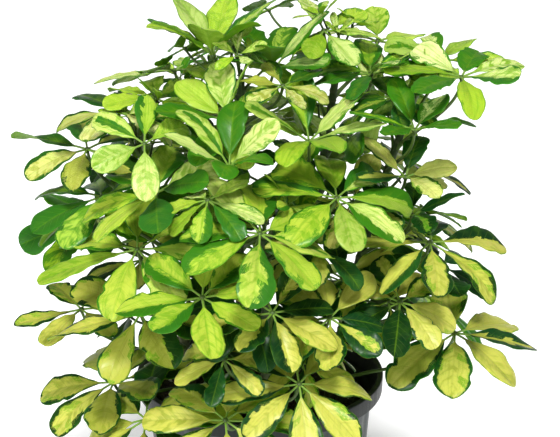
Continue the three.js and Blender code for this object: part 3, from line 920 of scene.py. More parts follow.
class Recipe:
    """A material built one step at a time. Each step adds a node and returns its result. A material
    of the same name is built anew."""

    def __init__(self, name):
        self.material = bpy.data.materials.get(name) or bpy.data.materials.new(name)
        self.material.use_nodes = True
        self.tree = self.material.node_tree
        self.tree.nodes.clear()
        self.shader = self.tree.nodes.new("ShaderNodeBsdfPrincipled")
        output = self.tree.nodes.new("ShaderNodeOutputMaterial")
        self.tree.links.new(self.shader.outputs["BSDF"], output.inputs["Surface"])

    def fill(self, socket, value):
        """Links a result to a socket, or sets a plain value on it."""
        if isinstance(value, bpy.types.NodeSocket):
            self.tree.links.new(value, socket)
        elif hasattr(value, "__len__") and len(socket.default_value) == 4:
            socket.default_value = (*value, 1)
        else:
            socket.default_value = value

    def finish(self, **sockets):
        """Fills the shader's sockets, which are named in lower case, and gives the material."""
        for name, value in sockets.items():
            self.fill(self.shader.inputs[name.replace("_", " ").title().replace("Ior", "IOR")], value)
        return self.material

    def maths(self, operation, *values, clamp=False):
        """One sum on numbers. clamp keeps its result from 0 to 1."""
        node = self.tree.nodes.new("ShaderNodeMath")
        node.operation = operation
        node.use_clamp = clamp
        for socket, value in zip(node.inputs, values):
            self.fill(socket, value)
        return node.outputs[0]

    def times(self, one, other, clamp=False):
        """The product of two numbers."""
        return self.maths("MULTIPLY", one, other, clamp=clamp)

    def plus(self, one, other):
        """The sum of two numbers."""
        return self.maths("ADD", one, other)

    def less(self, one, other):
        """The first number less the second."""
        return self.maths("SUBTRACT", one, other)

    def rise(self, value, start, end, low=0.0, high=1.0):
        """Goes smoothly from low to high as value goes from start to end."""
        node = self.tree.nodes.new("ShaderNodeMapRange")
        node.interpolation_type = "SMOOTHSTEP"
        for socket, number in zip(node.inputs, (value, start, end, low, high)):
            self.fill(socket, number)
        return node.outputs[0]

    def mix(self, share, one, other):
        """A mix of two colours, with share of the second."""
        node = self.tree.nodes.new("ShaderNodeMix")
        node.data_type = "RGBA"
        for index, value in ((0, share), (6, one), (7, other)):
            self.fill(node.inputs[index], value)
        return node.outputs[2]

    def join(self, *numbers):
        """Three numbers as one place."""
        node = self.tree.nodes.new("ShaderNodeCombineXYZ")
        for socket, value in zip(node.inputs, numbers):
            self.fill(socket, value)
        return node.outputs[0]

    def split(self, place):
        """The three numbers of a place."""
        node = self.tree.nodes.new("ShaderNodeSeparateXYZ")
        self.fill(node.inputs[0], place)
        return node.outputs

    def numbers(self, label):
        """The three numbers that every point of a mesh keeps under a label."""
        node = self.tree.nodes.new("ShaderNodeAttribute")
        node.attribute_name = label
        return self.split(node.outputs["Vector"])

    def number(self, label):
        """The one number that every point of a mesh keeps under a label."""
        node = self.tree.nodes.new("ShaderNodeAttribute")
        node.attribute_name = label
        return node.outputs["Fac"]

    def spot(self):
        """The place in the object, in metres."""
        return self.tree.nodes.new("ShaderNodeTexCoord").outputs["Object"]

    def noise(self, place, scale, detail=2.0, roughness=0.5):
        """Cloudy noise, mostly from 0.3 to 0.7, with more fine detail where it is rougher."""
        node = self.tree.nodes.new("ShaderNodeTexNoise")
        values = {"Vector": place, "Scale": scale, "Detail": detail, "Roughness": roughness}
        for socket, value in values.items():
            self.fill(node.inputs[socket], value)
        return node.outputs[0]

    def cells(self, place, scale):
        """Distance from the nearest of many scattered points."""
        node = self.tree.nodes.new("ShaderNodeTexVoronoi")
        self.fill(node.inputs["Vector"], place)
        self.fill(node.inputs["Scale"], scale)
        return node.outputs["Distance"]

    def chance(self, place):
        """A number from 0 to 1 that is the same all over a whole-numbered place."""
        node = self.tree.nodes.new("ShaderNodeTexWhiteNoise")
        self.fill(node.inputs["Vector"], place)
        return node.outputs["Value"]

    def bump(self, height, distance):
        """Relief in the shading: how far full height stands out, in metres."""
        node = self.tree.nodes.new("ShaderNodeBump")
        for socket, value in (("Height", height), ("Distance", distance), ("Strength", 1.0)):
            self.fill(node.inputs[socket], value)
        return node.outputs[0]


def leaf_material(name, settings, pale, young_pale, deep_pale, middle, edge):
    """Leaf blade: a pale middle and a darker edge that meet on a line that steps from side vein to
    side vein, with middle-coloured patches between, fine veins, a paler underside with painted light
    shining through it, and a soft gloss. The pale middle goes from one colour to another with youth,
    deepens towards its foot partly by painted shade, and a few leaflets are cream. The edge is cooler
    on some leaflets, partly as a painted sheen."""
    r = Recipe(name)
    across, blade, seed = r.numbers("place")
    reach, swapped, below = r.numbers("tone")
    youth = r.number("age")
    spot = r.spot()
    share = r.maths("ABSOLUTE", across)
    side = r.maths("SIGN", across)
    rib = r.times(r.less(blade, r.times(share, VEIN_SLANT)), float(settings.side_veins))

    def blotches(across_by, other, other_by, scale, detail):
        """Noise over one leaflet, stretched by factors across it and along another number."""
        return r.noise(r.join(r.times(across, across_by), r.times(other, other_by), seed), scale, detail)

    def own(one, other):
        """A number from 0 to 1 for each leaflet, another for each pair of whole numbers."""
        return r.chance(r.join(seed, one, other))

    # The line between middle and edge: how far a point is past it, and the patches that spread beyond
    wander = blotches(1.2, blade, 4.0, 1.6, 3.0)
    step = r.maths("FLOOR", r.plus(rib, r.times(wander, 0.9)))
    jag = r.chance(r.join(step, side, seed))
    splash = r.chance(r.join(step, r.plus(side, 5.0), seed))
    fine = blotches(3.0, blade, 4.0, 4.5, 3.0)
    tip = r.rise(blade, 0.82, 1.04)
    outer = r.maths("MAXIMUM", share, tip)
    ragged = r.rise(own(6.0, 5.0), 0.1, 1.0, 0.06, 0.46)
    border = reach
    for wave, level, height in ((jag, 0.55, ragged), (wander, 0.5, 0.5), (fine, 0.5, 0.12)):
        border = r.plus(border, r.times(r.less(wave, level), height))
    past = r.less(outer, border)
    dark = r.maths("ABSOLUTE", r.less(r.rise(past, -0.02, 0.03), swapped))
    patch_width = r.rise(splash, 0.45, 1.0, 0.02, 0.55)
    patchy = r.rise(r.plus(past, patch_width), -0.03, 0.03)
    patchy = r.times(patchy, r.rise(fine, 0.36, 0.5))
    patchy = r.times(patchy, r.rise(own(2.0, 9.0), 0.3, 0.6))
    patchy = r.times(patchy, r.less(1.0, swapped))

    # The pale middle: fresher with youth, brushed and streaked with a deeper pale, and deeper towards
    # its foot, partly as its own colour and partly as painted shade near the hub
    warmth = own(1.0, 2.0)
    cream = r.rise(own(8.0, 3.0), 0.2, 0.9)
    fresh = r.mix(r.times(cream, 0.8), young_pale, tint(settings.cream))
    light = r.mix(r.times(youth, 1.0, clamp=True), pale, fresh)
    brush = blotches(1.1, rib, 0.75, 1.5, 2.0)
    brushed = r.times(r.rise(brush, 0.46, 0.62), r.rise(warmth, 0.0, 1.0, 0.15, 0.9))
    light = r.mix(brushed, light, deep_pale)
    streak = blotches(2.4, blade, 0.7, 2.4, 3.0)
    light = r.mix(r.rise(streak, 0.48, 0.72, 0.0, 0.6), light, deep_pale)
    # Deeper towards the blade's foot: partly the leaflet's own greener base, partly painted shade near
    # the hub
    light = r.mix(r.rise(blade, 0.45, -0.05, 0.0, 0.5), light, deep_pale)
    dusk = own(4.0, 7.0)
    light = r.mix(r.rise(dusk, 0.55, 1.0, 0.0, 0.6), light, tint(deep_pale, 0.8))
    light = r.mix(r.times(patchy, 0.85), light, middle)

    # The edge: mottled, cooler blue-green on some leaflets, which is partly a painted sheen, and
    # brighter near the midrib of young ones
    mottle = r.noise(spot, 90.0, 3.0)
    deep = r.mix(r.rise(mottle, 0.35, 0.75, 0.0, 0.16), edge, middle)
    deep = r.mix(r.times(swapped, 0.6), deep, middle)
    deep = r.mix(r.times(youth, 0.55, clamp=True), deep, tint(settings.green))
    deep = r.mix(r.rise(dusk, 0.2, 1.0, 0.0, 0.6), deep, edge)
    # Cooler blue-green on some leaflets: partly their own tone, partly a painted bluish sheen
    cool_and_sheen = r.rise(own(5.0, 6.0), 0.4, 1.0, 0.0, 0.45)
    deep = r.mix(cool_and_sheen, deep, COOL_GREEN_AND_PAINTED_SHEEN)
    glow = r.times(r.rise(share, 0.9, 0.0, 0.0, 0.4), r.rise(brush, 0.4, 0.6))
    deep = r.mix(r.times(glow, youth, clamp=True), deep, tint(settings.lime, 0.6))
    rim_line = r.times(r.rise(outer, 0.88, 0.96), r.rise(wander, 0.38, 0.5))
    light = r.mix(r.times(rim_line, 0.75), light, r.mix(0.5, middle, edge))

    # Both together, with veins, the midrib, a paler underside that also carries painted light shining
    # through the blade, and the leaflet's own short stalk
    colour = r.mix(dark, light, deep)
    near_vein = r.maths("ABSOLUTE", r.less(r.maths("FRACT", rib), 0.5))
    vein = r.times(r.rise(near_vein, 0.42, 0.5), r.rise(share, 1.0, 0.3))
    midrib = r.rise(share, 0.085, 0.03)
    rib_colour = r.mix(dark, deep_pale, r.mix(0.35, middle, tint(settings.lime)))
    colour = r.mix(r.times(vein, r.rise(dark, 0.0, 1.0, 0.07, 0.14)), colour, rib_colour)
    colour = r.mix(r.times(midrib, r.rise(dark, 0.0, 1.0, 0.3, 0.26)), colour, rib_colour)
    # Painted light: the underside is mixed halfway to a bright yellow green, partly its own paler colour
    # and partly light shining through the blade
    under = r.mix(0.52, colour, PALE_UNDERSIDE_AND_PAINTED_BACKLIGHT)
    colour = r.mix(r.times(below, 0.85), colour, under)
    colour = r.mix(r.rise(blade, 0.05, -0.03), colour, BLADE_FOOT_GREEN)
    grain = r.noise(spot, 1400.0, 2.0)
    relief = r.plus(r.times(vein, -0.6), r.times(grain, 0.35))
    rough = r.plus(r.rise(below, 0.0, 1.0, 0.34, 0.55), r.times(mottle, 0.05))
    return r.finish(
        base_color=colour,
        roughness=rough,
        normal=r.bump(relief, 0.0003),
        specular_ior_level=0.12,
        coat_weight=0.17,
        coat_roughness=0.22,
        coat_ior=1.4,
        subsurface_weight=0.3,
        subsurface_radius=(0.6, 1.0, 0.25),
        subsurface_scale=0.002,
    )


def plain_copy(settings, **values):
    """The leaf settings as plain values, with some of them changed."""
    plain = {name: getattr(settings, name) for name in LeafSettings.__annotations__}
    return SimpleNamespace(**{**plain, **values})


def tint(colour, brighter=1.0):
    """A setting's colour as plain numbers, made brighter by a factor."""
    return tuple(min(channel * brighter, 1) for channel in colour)


def stalk_material(settings):
    """Leaf stalk: brownish green with long pale streaks and a few dots."""
    r = Recipe("leaf_stalk")
    around, along, seed = r.numbers("place")
    streak = r.noise(r.join(around, r.times(along, 0.02), seed), 1.2, 2.0)
    mottle = r.noise(r.spot(), 260.0, 3.0)
    fresh = tint(settings.stalk, 1.9)
    colour = r.mix(r.rise(streak, 0.35, 0.7), tint(settings.stalk), fresh)
    colour = r.mix(r.rise(mottle, 0.58, 0.72, 0.0, 0.5), colour, STALK_DOTS)
    return r.finish(
        base_color=colour,
        roughness=r.rise(mottle, 0.3, 0.7, 0.34, 0.5),
        normal=r.bump(mottle, 0.0002),
    )


def cane_material(settings):
    """Bark: green and smooth near the tip, grey-brown and cracked near the soil, with paler rings at
    the leaf scars and small raised pores."""
    r = Recipe("cane_bark")
    _, along, scar = r.numbers("place")
    spot = r.spot()
    x, y, z = r.split(spot)
    fibre = r.noise(r.join(x, y, r.times(z, 0.2)), 420.0, 4.0, 0.6)
    mottle = r.noise(spot, 60.0, 4.0)
    age = r.rise(r.plus(along, r.times(mottle, 0.3)), 0.25, 0.75)
    bark = r.mix(age, tint(settings.old_bark), tint(settings.young_bark))
    bark = r.mix(r.rise(fibre, 0.4, 0.7, 0.0, 0.6), bark, BARK_CRACKS)
    bark = r.mix(r.rise(mottle, 0.55, 0.8, 0.0, 0.45), bark, BARK_BLOOM)
    bark = r.mix(r.times(scar, 0.6), bark, SCAR_BARK)
    pores = r.rise(r.cells(spot, 330.0), 0.16, 0.06)
    bark = r.mix(r.times(pores, 0.5), bark, BARK_PORES)
    relief = r.plus(fibre, r.times(pores, 0.7))
    rough = r.rise(fibre, 0.3, 0.7, 0.55, 0.8)
    return r.finish(base_color=bark, roughness=rough, normal=r.bump(relief, 0.0006))


def pot_material(settings):
    """Moulded plastic: fine grain, faint upright scuffs that are partly a painted sheen of paler
    streaks, dust that gathers low down, dried soil on the inside, and painted shade on the rim band."""
    r = Recipe("pot_plastic")
    spot = r.spot()
    x, y, z = r.split(spot)
    scuffs_and_sheen = r.noise(r.join(x, y, r.times(z, 0.08)), 160.0, 4.0, 0.65)
    cloud = r.noise(spot, 22.0, 4.0)
    grain = r.noise(spot, 1800.0, 2.0)
    # Paler upright streaks on the wall: partly scuffs, partly a painted sheen standing in for the
    # plastic's gloss
    pale = tint(settings.plastic, 2.7)
    colour = r.mix(r.rise(scuffs_and_sheen, 0.4, 0.74, 0.0, 0.65), tint(settings.plastic), pale)
    dust = r.times(r.rise(z, 0.06, 0.0), r.rise(cloud, 0.35, 0.65))
    colour = r.mix(r.times(dust, 0.4), colour, DUST)
    distance = r.maths("SQRT", r.plus(r.times(x, x), r.times(y, y)))
    wall = r.plus(BODY_BASE_RADIUS * MM, r.times(z, wall_slope()))
    inside = r.rise(r.less(wall, distance), 0.0012, 0.0018)
    dried = r.times(inside, r.rise(r.plus(z, r.times(cloud, 0.03)), 0.252, 0.228))
    colour = r.mix(r.times(dried, 0.75), colour, tint(settings.soil, 1.6))
    # Painted shade: above the rim band's foot (the band, its lip and the inside alike) the same plastic
    # is darkened to a quarter of its colour, as the rim looks in shadow
    painted_rim_shade = r.rise(r.plus(z, r.times(cloud, 0.006)), 0.224, 0.231, 0.0, 0.85)
    colour = r.mix(painted_rim_shade, colour, tint(settings.plastic, 0.25))
    rough = r.rise(scuffs_and_sheen, 0.35, 0.75, 0.36, 0.55)
    relief = r.plus(r.times(grain, 0.5), scuffs_and_sheen)
    return r.finish(
        base_color=colour,
        roughness=rough,
        normal=r.bump(relief, 0.00025),
        specular_ior_level=0.3,
    )


def soil_material(settings):
    """Damp potting soil: dark crumbs and brown fibres, rough all over."""
    r = Recipe("potting_soil")
    spot = r.spot()
    crumb = r.cells(spot, 260.0)
    cloud = r.noise(spot, 45.0, 4.0)
    fibre = r.noise(spot, 900.0, 3.0, 0.7)
    dark = tint(settings.soil, 0.55)
    colour = r.mix(r.rise(cloud, 0.35, 0.65), dark, tint(settings.soil, 1.5))
    colour = r.mix(r.rise(fibre, 0.58, 0.74, 0.0, 0.7), colour, SOIL_FIBRES)
    relief = r.plus(r.times(crumb, 0.8), r.times(fibre, 0.6))
    rough = r.rise(cloud, 0.3, 0.7, 0.8, 0.95)
    return r.finish(base_color=colour, roughness=rough, normal=r.bump(relief, 0.0015))


def perlite_material():
    """Perlite: chalky white grains with grey pits and a little soil."""
    r = Recipe("perlite")
    pits = r.noise(r.spot(), 1100.0, 3.0)
    colour = r.mix(r.rise(pits, 0.4, 0.66), PERLITE, PERLITE_PITS)
    rough = r.rise(pits, 0.3, 0.7, 0.8, 0.95)
    return r.finish(base_color=colour, roughness=rough, normal=r.bump(pits, 0.0006))


def wall_slope():
    """How much the pot's radius grows with each unit of height."""
    return (BODY_TOP_RADIUS - BODY_BASE_RADIUS) / (POT_HEIGHT - RIM_BAND)


def lattice_noise(points, size, seed):
    """Smooth noise from -1 to 1: each corner of a lattice with cells of the given size gets a number
    from a mixing sum of its place, and the eight round a point are blended by smooth steps."""
    scaled = points / size + 1000
    corner = np.floor(scaled).astype(np.int64)
    part = scaled - corner
    part = part * part * (3 - 2 * part)
    total = np.zeros(points.shape[:-1])
    for dx in (0, 1):
        for dy in (0, 1):
            for dz in (0, 1):
                x, y, z = (corner[..., k] + d for k, d in enumerate((dx, dy, dz)))
                mixed = (x * 73856093) ^ (y * 19349663) ^ (z * 83492791) ^ (seed * 2654435761)
                mixed = (mixed ^ mixed >> 13) * 1274126177 & 0xFFFFFFFF
                value = ((mixed ^ mixed >> 16) & 0xFFFF) / 32767.5 - 1
                weight = np.ones_like(total)
                for k, d in enumerate((dx, dy, dz)):
                    weight = weight * (part[..., k] if d else 1 - part[..., k])
                total += weight * value
    return total


def soil_height(x, y):
    """The lumpy, slightly mounded top of the soil, as in the solids."""
    reach = np.hypot(x, y) / BODY_TOP_RADIUS
    across, back = 2 * np.pi * x / LUMP_LENGTH, 2 * np.pi * y / LUMP_LENGTH
    lumps = np.sin(across + 1) * np.cos(back) + np.sin((across - back) / 2)
    return SOIL_TOP + SOIL_MOUND * (1 - reach * reach) + SOIL_ROUGHNESS * lumps


def turned(radius, height, columns, shrink=None):
    """Rings of a profile turned about the upright axis. shrink takes the angles and gives how much
    is taken off each ring's radius at each angle."""
    angle = once_round(columns)
    reach = np.broadcast_to(radius[:, None], (len(radius), columns))
    if shrink is not None:
        reach = reach - shrink(angle)
    upright = np.broadcast_to(height[:, None], reach.shape)
    return np.stack([reach * np.cos(angle), reach * np.sin(angle), upright], -1)


def rounded_profile(corners):
    """A profile of (radius, height, rounding) corners as points, each corner turned by a quadratic
    curve that starts and ends at its rounding's distance from it."""
    points = []
    for index, (radius, height, rounding) in enumerate(corners):
        corner = vector(radius, height)
        if rounding == 0:
            points.append(corner[None])
            continue
        before = unit(vector(*corners[index - 1][:2]) - corner) * rounding + corner
        after = unit(vector(*corners[index + 1][:2]) - corner) * rounding + corner
        t = np.linspace(0, 1, CORNER_POINTS)[:, None]
        points.append(before * (1 - t) ** 2 + corner * 2 * t * (1 - t) + after * t * t)
    return np.concatenate(points)


def with_more_rows(profile, longest):
    """A profile with its long stretches split into equal steps no longer than longest."""
    rows = [profile[:1]]
    for start, end in zip(profile[:-1], profile[1:]):
        count = max(1, int(np.ceil(np.linalg.norm(end - start) / longest)))
        rows.append(start + (end - start) * (np.arange(1, count + 1) / count)[:, None])
    return np.concatenate(rows)


def drain_holes():
    """Upright round bars through the pot's floor at even steps round its axis."""
    holes = Skin()
    for drain in range(DRAINS):
        angle = 2 * np.pi * drain / DRAINS
        centre = vector(DRAIN_CIRCLE * math.cos(angle), DRAIN_CIRCLE * math.sin(angle), 0)
        path = centre + np.linspace(-POT_FLOOR, 3 * POT_FLOOR, 5)[:, None] * vector(0, 0, 1)
        holes.add(tube(path, DRAIN_RADIUS, DRAIN_COLUMNS, vector(1, 0, 0)), 0, 0)
    return holes


def pot_skin(settings):
    """The pot as one turned wall and floor. Its outside goes in between the ribs by the depth times
    a bell of the angle from each rib's groove."""
    band_foot = POT_HEIGHT - RIM_BAND
    corners = [
        (POLE_RADIUS, 0, 0),
        (BODY_BASE_RADIUS, 0, 2.5),
        (BODY_TOP_RADIUS, band_foot - 1, 1.2),
        (RIM_RADIUS - 0.8, band_foot, 1.2),
        (RIM_RADIUS, POT_HEIGHT, 2),
        (RIM_RADIUS - RIM_LIP, POT_HEIGHT, 1.4),
        (BODY_TOP_RADIUS - POT_WALL + 1, band_foot + 1, 3),
        (BODY_BASE_RADIUS - POT_WALL, POT_FLOOR, 2),
        (POLE_RADIUS, POT_FLOOR, 0),
    ]
    radius, height = with_more_rows(rounded_profile(corners), PROFILE_STEP).T
    body = BODY_BASE_RADIUS + wall_slope() * height
    on_wall = smooth(height, 3, 9) * smooth(height, band_foot - 4, band_foot - 10)
    on_wall = on_wall * (np.abs(radius - body) < 1)
    pitch = 2 * np.pi / RIBS

    def grooves(angle):
        """How far the wall goes in at each ring and angle."""
        off = (angle + pitch / 2) % pitch - pitch / 2
        bell = np.exp(-((off / (GROOVE_WIDTH * pitch)) ** 2))
        return settings.rib_depth / MM * on_wall[:, None] * bell

    skin = Skin()
    skin.add(turned(radius, height, RIBS * COLUMNS_TO_A_RIB, grooves), 0, 0)
    return skin


def pot_mesh(settings):
    """The pot with round holes cut through its floor."""
    pot, cutter = (
        add_object(name, skin.mesh())
        for name, skin in (("pot_blank", pot_skin(settings)), ("pot_drains", drain_holes()))
    )
    cut = pot.modifiers.new("drains", "BOOLEAN")
    cut.operation = "DIFFERENCE"
    cut.object = cutter
    cut.solver = "EXACT"
    finished = bpy.data.meshes.new_from_object(pot.evaluated_get(bpy.context.evaluated_depsgraph_get()))
    for thing in (pot, cutter):
        blank = thing.data
        bpy.data.objects.remove(thing)
        bpy.data.meshes.remove(blank)
    finished.materials.clear()
    finished.set_sharp_from_angle(angle=math.radians(SHARP_ANGLE))
    return finished


def soil_mesh():
    """The soil as one closed body: a flat foot, a side just inside the pot's wall, and a top that
    follows the solids' lumps with crumbs of finer noise on it, bent down a little at the wall."""
    foot, edge = (
        BODY_BASE_RADIUS - POT_WALL - SOIL_WALL_GAP + wall_slope() * height
        for height in (POT_FLOOR, SOIL_EDGE)
    )
    side = np.linspace(0, 1, SOIL_SIDE_ROWS)
    floor = POT_FLOOR + SOIL_FLOOR_GAP
    top = np.linspace(1, 0.004, SOIL_TOP_ROWS)
    radius = np.concatenate([[POLE_RADIUS], foot + (edge - foot) * side, edge * top])
    height = np.concatenate([[floor], floor + (SOIL_EDGE - floor) * side, top * 0])
    rings = turned(radius, height, SOIL_COLUMNS)
    surface = rings[len(side) + 1 :]
    x, y = surface[..., 0], surface[..., 1]
    flat = np.stack([x, y, np.zeros_like(x)], -1)
    rough = sum(height * lattice_noise(flat, cell, seed) for height, cell, seed in SOIL_WAVES)
    inward = smooth(top, 1.0, 0.9)[:, None]
    surface[..., 2] = soil_height(x, y) + rough * inward - 1.5 * SOIL_ROUGHNESS * (1 - inward)
    skin = Skin()
    skin.add(rings, 0, 0)
    return skin.mesh()


def scatter_lumps(draw, count, sizes):
    """Small rough lumps strewn over the soil: each is a ball of few faces pushed in and out, turned
    and squashed at random, and sunk a third of its height. Most are small, by the cube of a draw."""
    least, most, flat = sizes
    skin = Skin()
    ring = np.linspace(0, np.pi, 6)[1:-1]
    ball = turned(np.sin(ring), -np.cos(ring), 7)
    reach = BODY_TOP_RADIUS - POT_WALL - LUMP_MARGIN
    for index in range(count):
        size = least + (most - least) * next(draw) ** 3
        distance, compass = reach * math.sqrt(next(draw)), 2 * math.pi * next(draw)
        x, y = distance * math.cos(compass), distance * math.sin(compass)
        lump = ball * (1 + 0.3 * lattice_noise(ball * 1.4 + index * 7.3, 1, 4))[..., None]
        lump = lump * vector(0.8 + 0.5 * next(draw), 0.7 + 0.3 * next(draw), flat) * size
        turn = 2 * math.pi * next(draw)
        cosine, sine = math.cos(turn), math.sin(turn)
        spin = np.array([[cosine, -sine, 0], [sine, cosine, 0], [0, 0, 1]])
        skin.add(lump @ spin.T + vector(x, y, soil_height(x, y) + 0.45 * size * flat), index, 0)
    return skin.mesh()


def cane_rings(settings, cane, draw):
    """A cane as rings round its curve. Its radius goes evenly from foot to tip, and swells into a
    narrow ring with a shallow dip above it at each leaf scar, stronger on the scar's own side, with
    a slow unevenness and fine cracks on the old wood."""
    along = np.linspace(0, 1, CANE_ROWS)
    path = cane_points(cane, along)
    walked = np.concatenate([[0], np.cumsum(np.linalg.norm(np.diff(path, axis=0), axis=1))])
    angle = once_round(CANE_COLUMNS)
    even = CANE_FOOT_RADIUS + (CANE_TIP_RADIUS - CANE_FOOT_RADIUS) * along
    radius = even[:, None] * np.ones(CANE_COLUMNS)
    scar = np.zeros_like(radius)
    place, turn = FIRST_SCAR, 2 * np.pi * next(draw)
    height = settings.scar_height / MM
    spacing = settings.scar_spacing / MM
    while place < walked[-1] - 4:
        spread = 1.1 + 0.5 * next(draw)
        ring = np.exp(-(((walked - place) / spread) ** 2))[:, None]
        facing = 0.5 + 0.5 * np.cos(angle - turn)
        radius += height * ring * (0.35 + 0.9 * facing**2)
        dip = np.exp(-(((walked - place - 3.2) / 1.8) ** 2))[:, None]
        radius -= 0.35 * height * dip * facing
        scar = np.maximum(scar, ring * (0.25 + 0.75 * facing))
        place += spacing * (0.6 + 0.8 * next(draw)) * (1.25 - 0.55 * place / walked[-1])
        turn += SCAR_TURN
    plane = unit(np.cross(path[-1] - path[0], vector(0.2, 0.1, 1)))
    rings = tube(path, radius, CANE_COLUMNS, plane)
    uneven = 0.22 * lattice_noise(rings, 16, 5) + 0.16 * lattice_noise(rings * vector(1, 1, 0.3), 3, 6)
    rings = tube(path, radius + uneven * (1.3 - along)[:, None], CANE_COLUMNS, plane)
    return rings, per_point(rings, angle, along[:, None], scar)


def tip_shoot(skin, settings, cane, draw):
    """The growing tip of a cane: a pointed bud and a few young leaves, still small and half folded,
    on short stalks that fan out from the last of the wood."""
    tip = vector(*cane["tip"])
    course = unit(cane_points(cane, 1.0) - cane_points(cane, 0.93))
    bud = np.linspace(0, 1, BUD_ROWS)
    path = tip + course * (bud[:, None] * BUD_LENGTH - BUD_DEPTH)
    radius = BUD_RADIUS * np.sqrt(np.clip(1 - bud**1.7, 0.01, 1))
    skin.add(tube(path, radius, STALK_COLUMNS, vector(1, 0.1, 0)), 1, 0, material=1)
    small = plain_copy(
        settings,
        half_width=settings.half_width * 0.86,
        blade_rows=7,
        ripple=settings.ripple * 0.4,
        midrib_height=settings.midrib_height * 0.4,
        neck_radius=settings.neck_radius * 0.5,
    )
    compass = 360 * next(draw)
    for index in range(SHOOT_LEAVES):
        compass += GOLDEN_ANGLE
        lean = 18 + 14 * index * (0.6 + 0.4 * next(draw))
        axis = unit(leaning(lean, compass) + 0.6 * course)
        reach = 12 + 9 * index + 6 * next(draw)
        hub = tip + axis * reach + vector(0, 0, 3)
        base = tip - course * (1 + 2 * index)
        leaf = SimpleNamespace(
            number=index,
            hub=hub,
            axis=axis,
            corners=stalk_curve(base, unit(axis + course), hub, axis, reach, SMALL_STALK_PULLS),
            count=5,
            length=13 + 7 * index + 5 * next(draw),
            seed=int(1e6 * next(draw)),
            opening=24 + 12 * index,
            stalk_radius=0.8 + 0.08 * index,
        )
        leaflets = plan_leaflets(leaf)
        leaf.leaflets = [detail_leaflet(leaflet, draw, PATTERNS["lime"]) for leaflet in leaflets]
        add_umbrella(skin, small, leaf)


def crown_tree():
    """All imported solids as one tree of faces, in millimetres, to keep added leaves clear of them."""
    points, triangles, count = [], [], 0
    for name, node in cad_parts.items():
        corners = np.empty(len(node.data.loops), np.int32)
        node.data.loops.foreach_get("vertex_index", corners)
        points.append(node_points(name))
        triangles.append(corners.reshape(-1, 3) + count)
        count += len(points[-1])
    return BVHTree.FromPolygons(np.concatenate(points).tolist(), np.concatenate(triangles).tolist())


def rough_tree(rings):
    """A tree of a grid of rings' faces, open at both ends."""
    return BVHTree.FromPolygons(rings.reshape(-1, 3).tolist(), wrapped_quads(*rings.shape[:2]).tolist())


def shade_leaf(draw, number, cane, place, compass):
    """A small leaf on a short stalk from a place along a cane, by its draws."""
    start = cane_points(cane, place)
    reach = 34 + 84 * next(draw)
    axis = leaning(18 + 40 * next(draw), compass)
    hub = start + reach * leaning(58 + 14 * next(draw), compass) + vector(0, 0, 4)
    away = unit(axis + vector(0, 0, 0.5))
    return SimpleNamespace(
        number=number,
        hub=hub,
        axis=axis,
        corners=stalk_curve(start, away, hub, axis, reach, SMALL_STALK_PULLS),
        seed=int(1e6 * next(draw)),
        count=6,
        length=50 + 26 * next(draw),
        opening=84,
        stalk_radius=1.2,
    )


def shade_leaves(settings, trees):
    """Shade leaves deep in the crown, between the large ones: each cane gets some at even steps up
    its height, each turned by the golden angle from the last, on a short stalk. A leaflet that would
    cross anything goes, and a leaf with too few left goes whole."""
    kept = []
    for number, cane in enumerate(CANES.values()):
        draw = random_draws(SHADE_SEED + SHADE_SEED_STEP * number)
        compass = 360 * next(draw)
        for index in range(SHADE_TRIES):
            compass += GOLDEN_ANGLE
            place = SHADE_STRETCH[0] + SHADE_STRETCH[1] * (index + next(draw)) / SHADE_TRIES
            leaf = shade_leaf(draw, number, cane, place, compass)
            start, hub = leaf.corners[0], leaf.hub
            side = unit(np.cross(hub - start, NO_STALK_THIS_WAY))
            stalk_tree = rough_tree(tube(cubic(leaf.corners, np.linspace(0.25, 1, 6)), 2.0, 4, side))
            high = start[2] > HIGH_SHADE_LEAF
            stands_out = high and np.hypot(hub[0], hub[1]) > WIDEST_HIGH_SHADE_LEAF
            if stands_out or any(tree.overlap(stalk_tree) for tree in trees):
                continue
            tones = HIGH_SHADE_TONES if high else LOW_SHADE_TONES
            leaf.tone = tones[int(len(tones) * next(draw))]
            free = []
            for leaflet in plan_leaflets(leaf):
                roomy = changed(leaflet, length=leaflet.length + 2, width=leaflet.width + 3)
                tree = rough_tree(coarse_leaflet(settings, roomy))
                if not any(other.overlap(tree) for other in trees):
                    free.append((leaflet, tree))
            if len(free) < FEWEST_SHADE_LEAFLETS:
                continue
            trees += [tree for _, tree in free] + [stalk_tree]
            leaf.leaflets = [detail_leaflet(leaflet, draw, PATTERNS[leaf.tone]) for leaflet, _ in free]
            kept.append(leaf)
    return kept


def coarse_leaflet(settings, leaflet):
    """A leaflet's room as a few flat rings: two edges raised by the crease, and a top and underside."""
    along = np.array([0.06, NECK, 0.34, 0.54, 0.74, 0.9, 1.0])
    blade = (along - NECK) / (1 - NECK)
    centre, across, up = leaflet_frame(leaflet, along)
    swell = np.clip(np.sin(np.pi * np.clip(blade, 0, 1) ** 0.9), 0, 1) ** 0.7
    half = np.maximum(settings.half_width * leaflet.width * swell, 1.5)[:, None]
    raised = FOLD * half * smooth(blade, -0.01, 0.1)[:, None]
    wave = WAVE * leaflet.length * np.sin(2 * np.pi * along + leaflet.phase)[:, None]
    edges = [centre + across * side * half + up * (raised + side * wave) for side in (-1, 1)]
    return np.stack([edges[0], centre - up * 1.2, edges[1], centre + up * 1.2], 1)


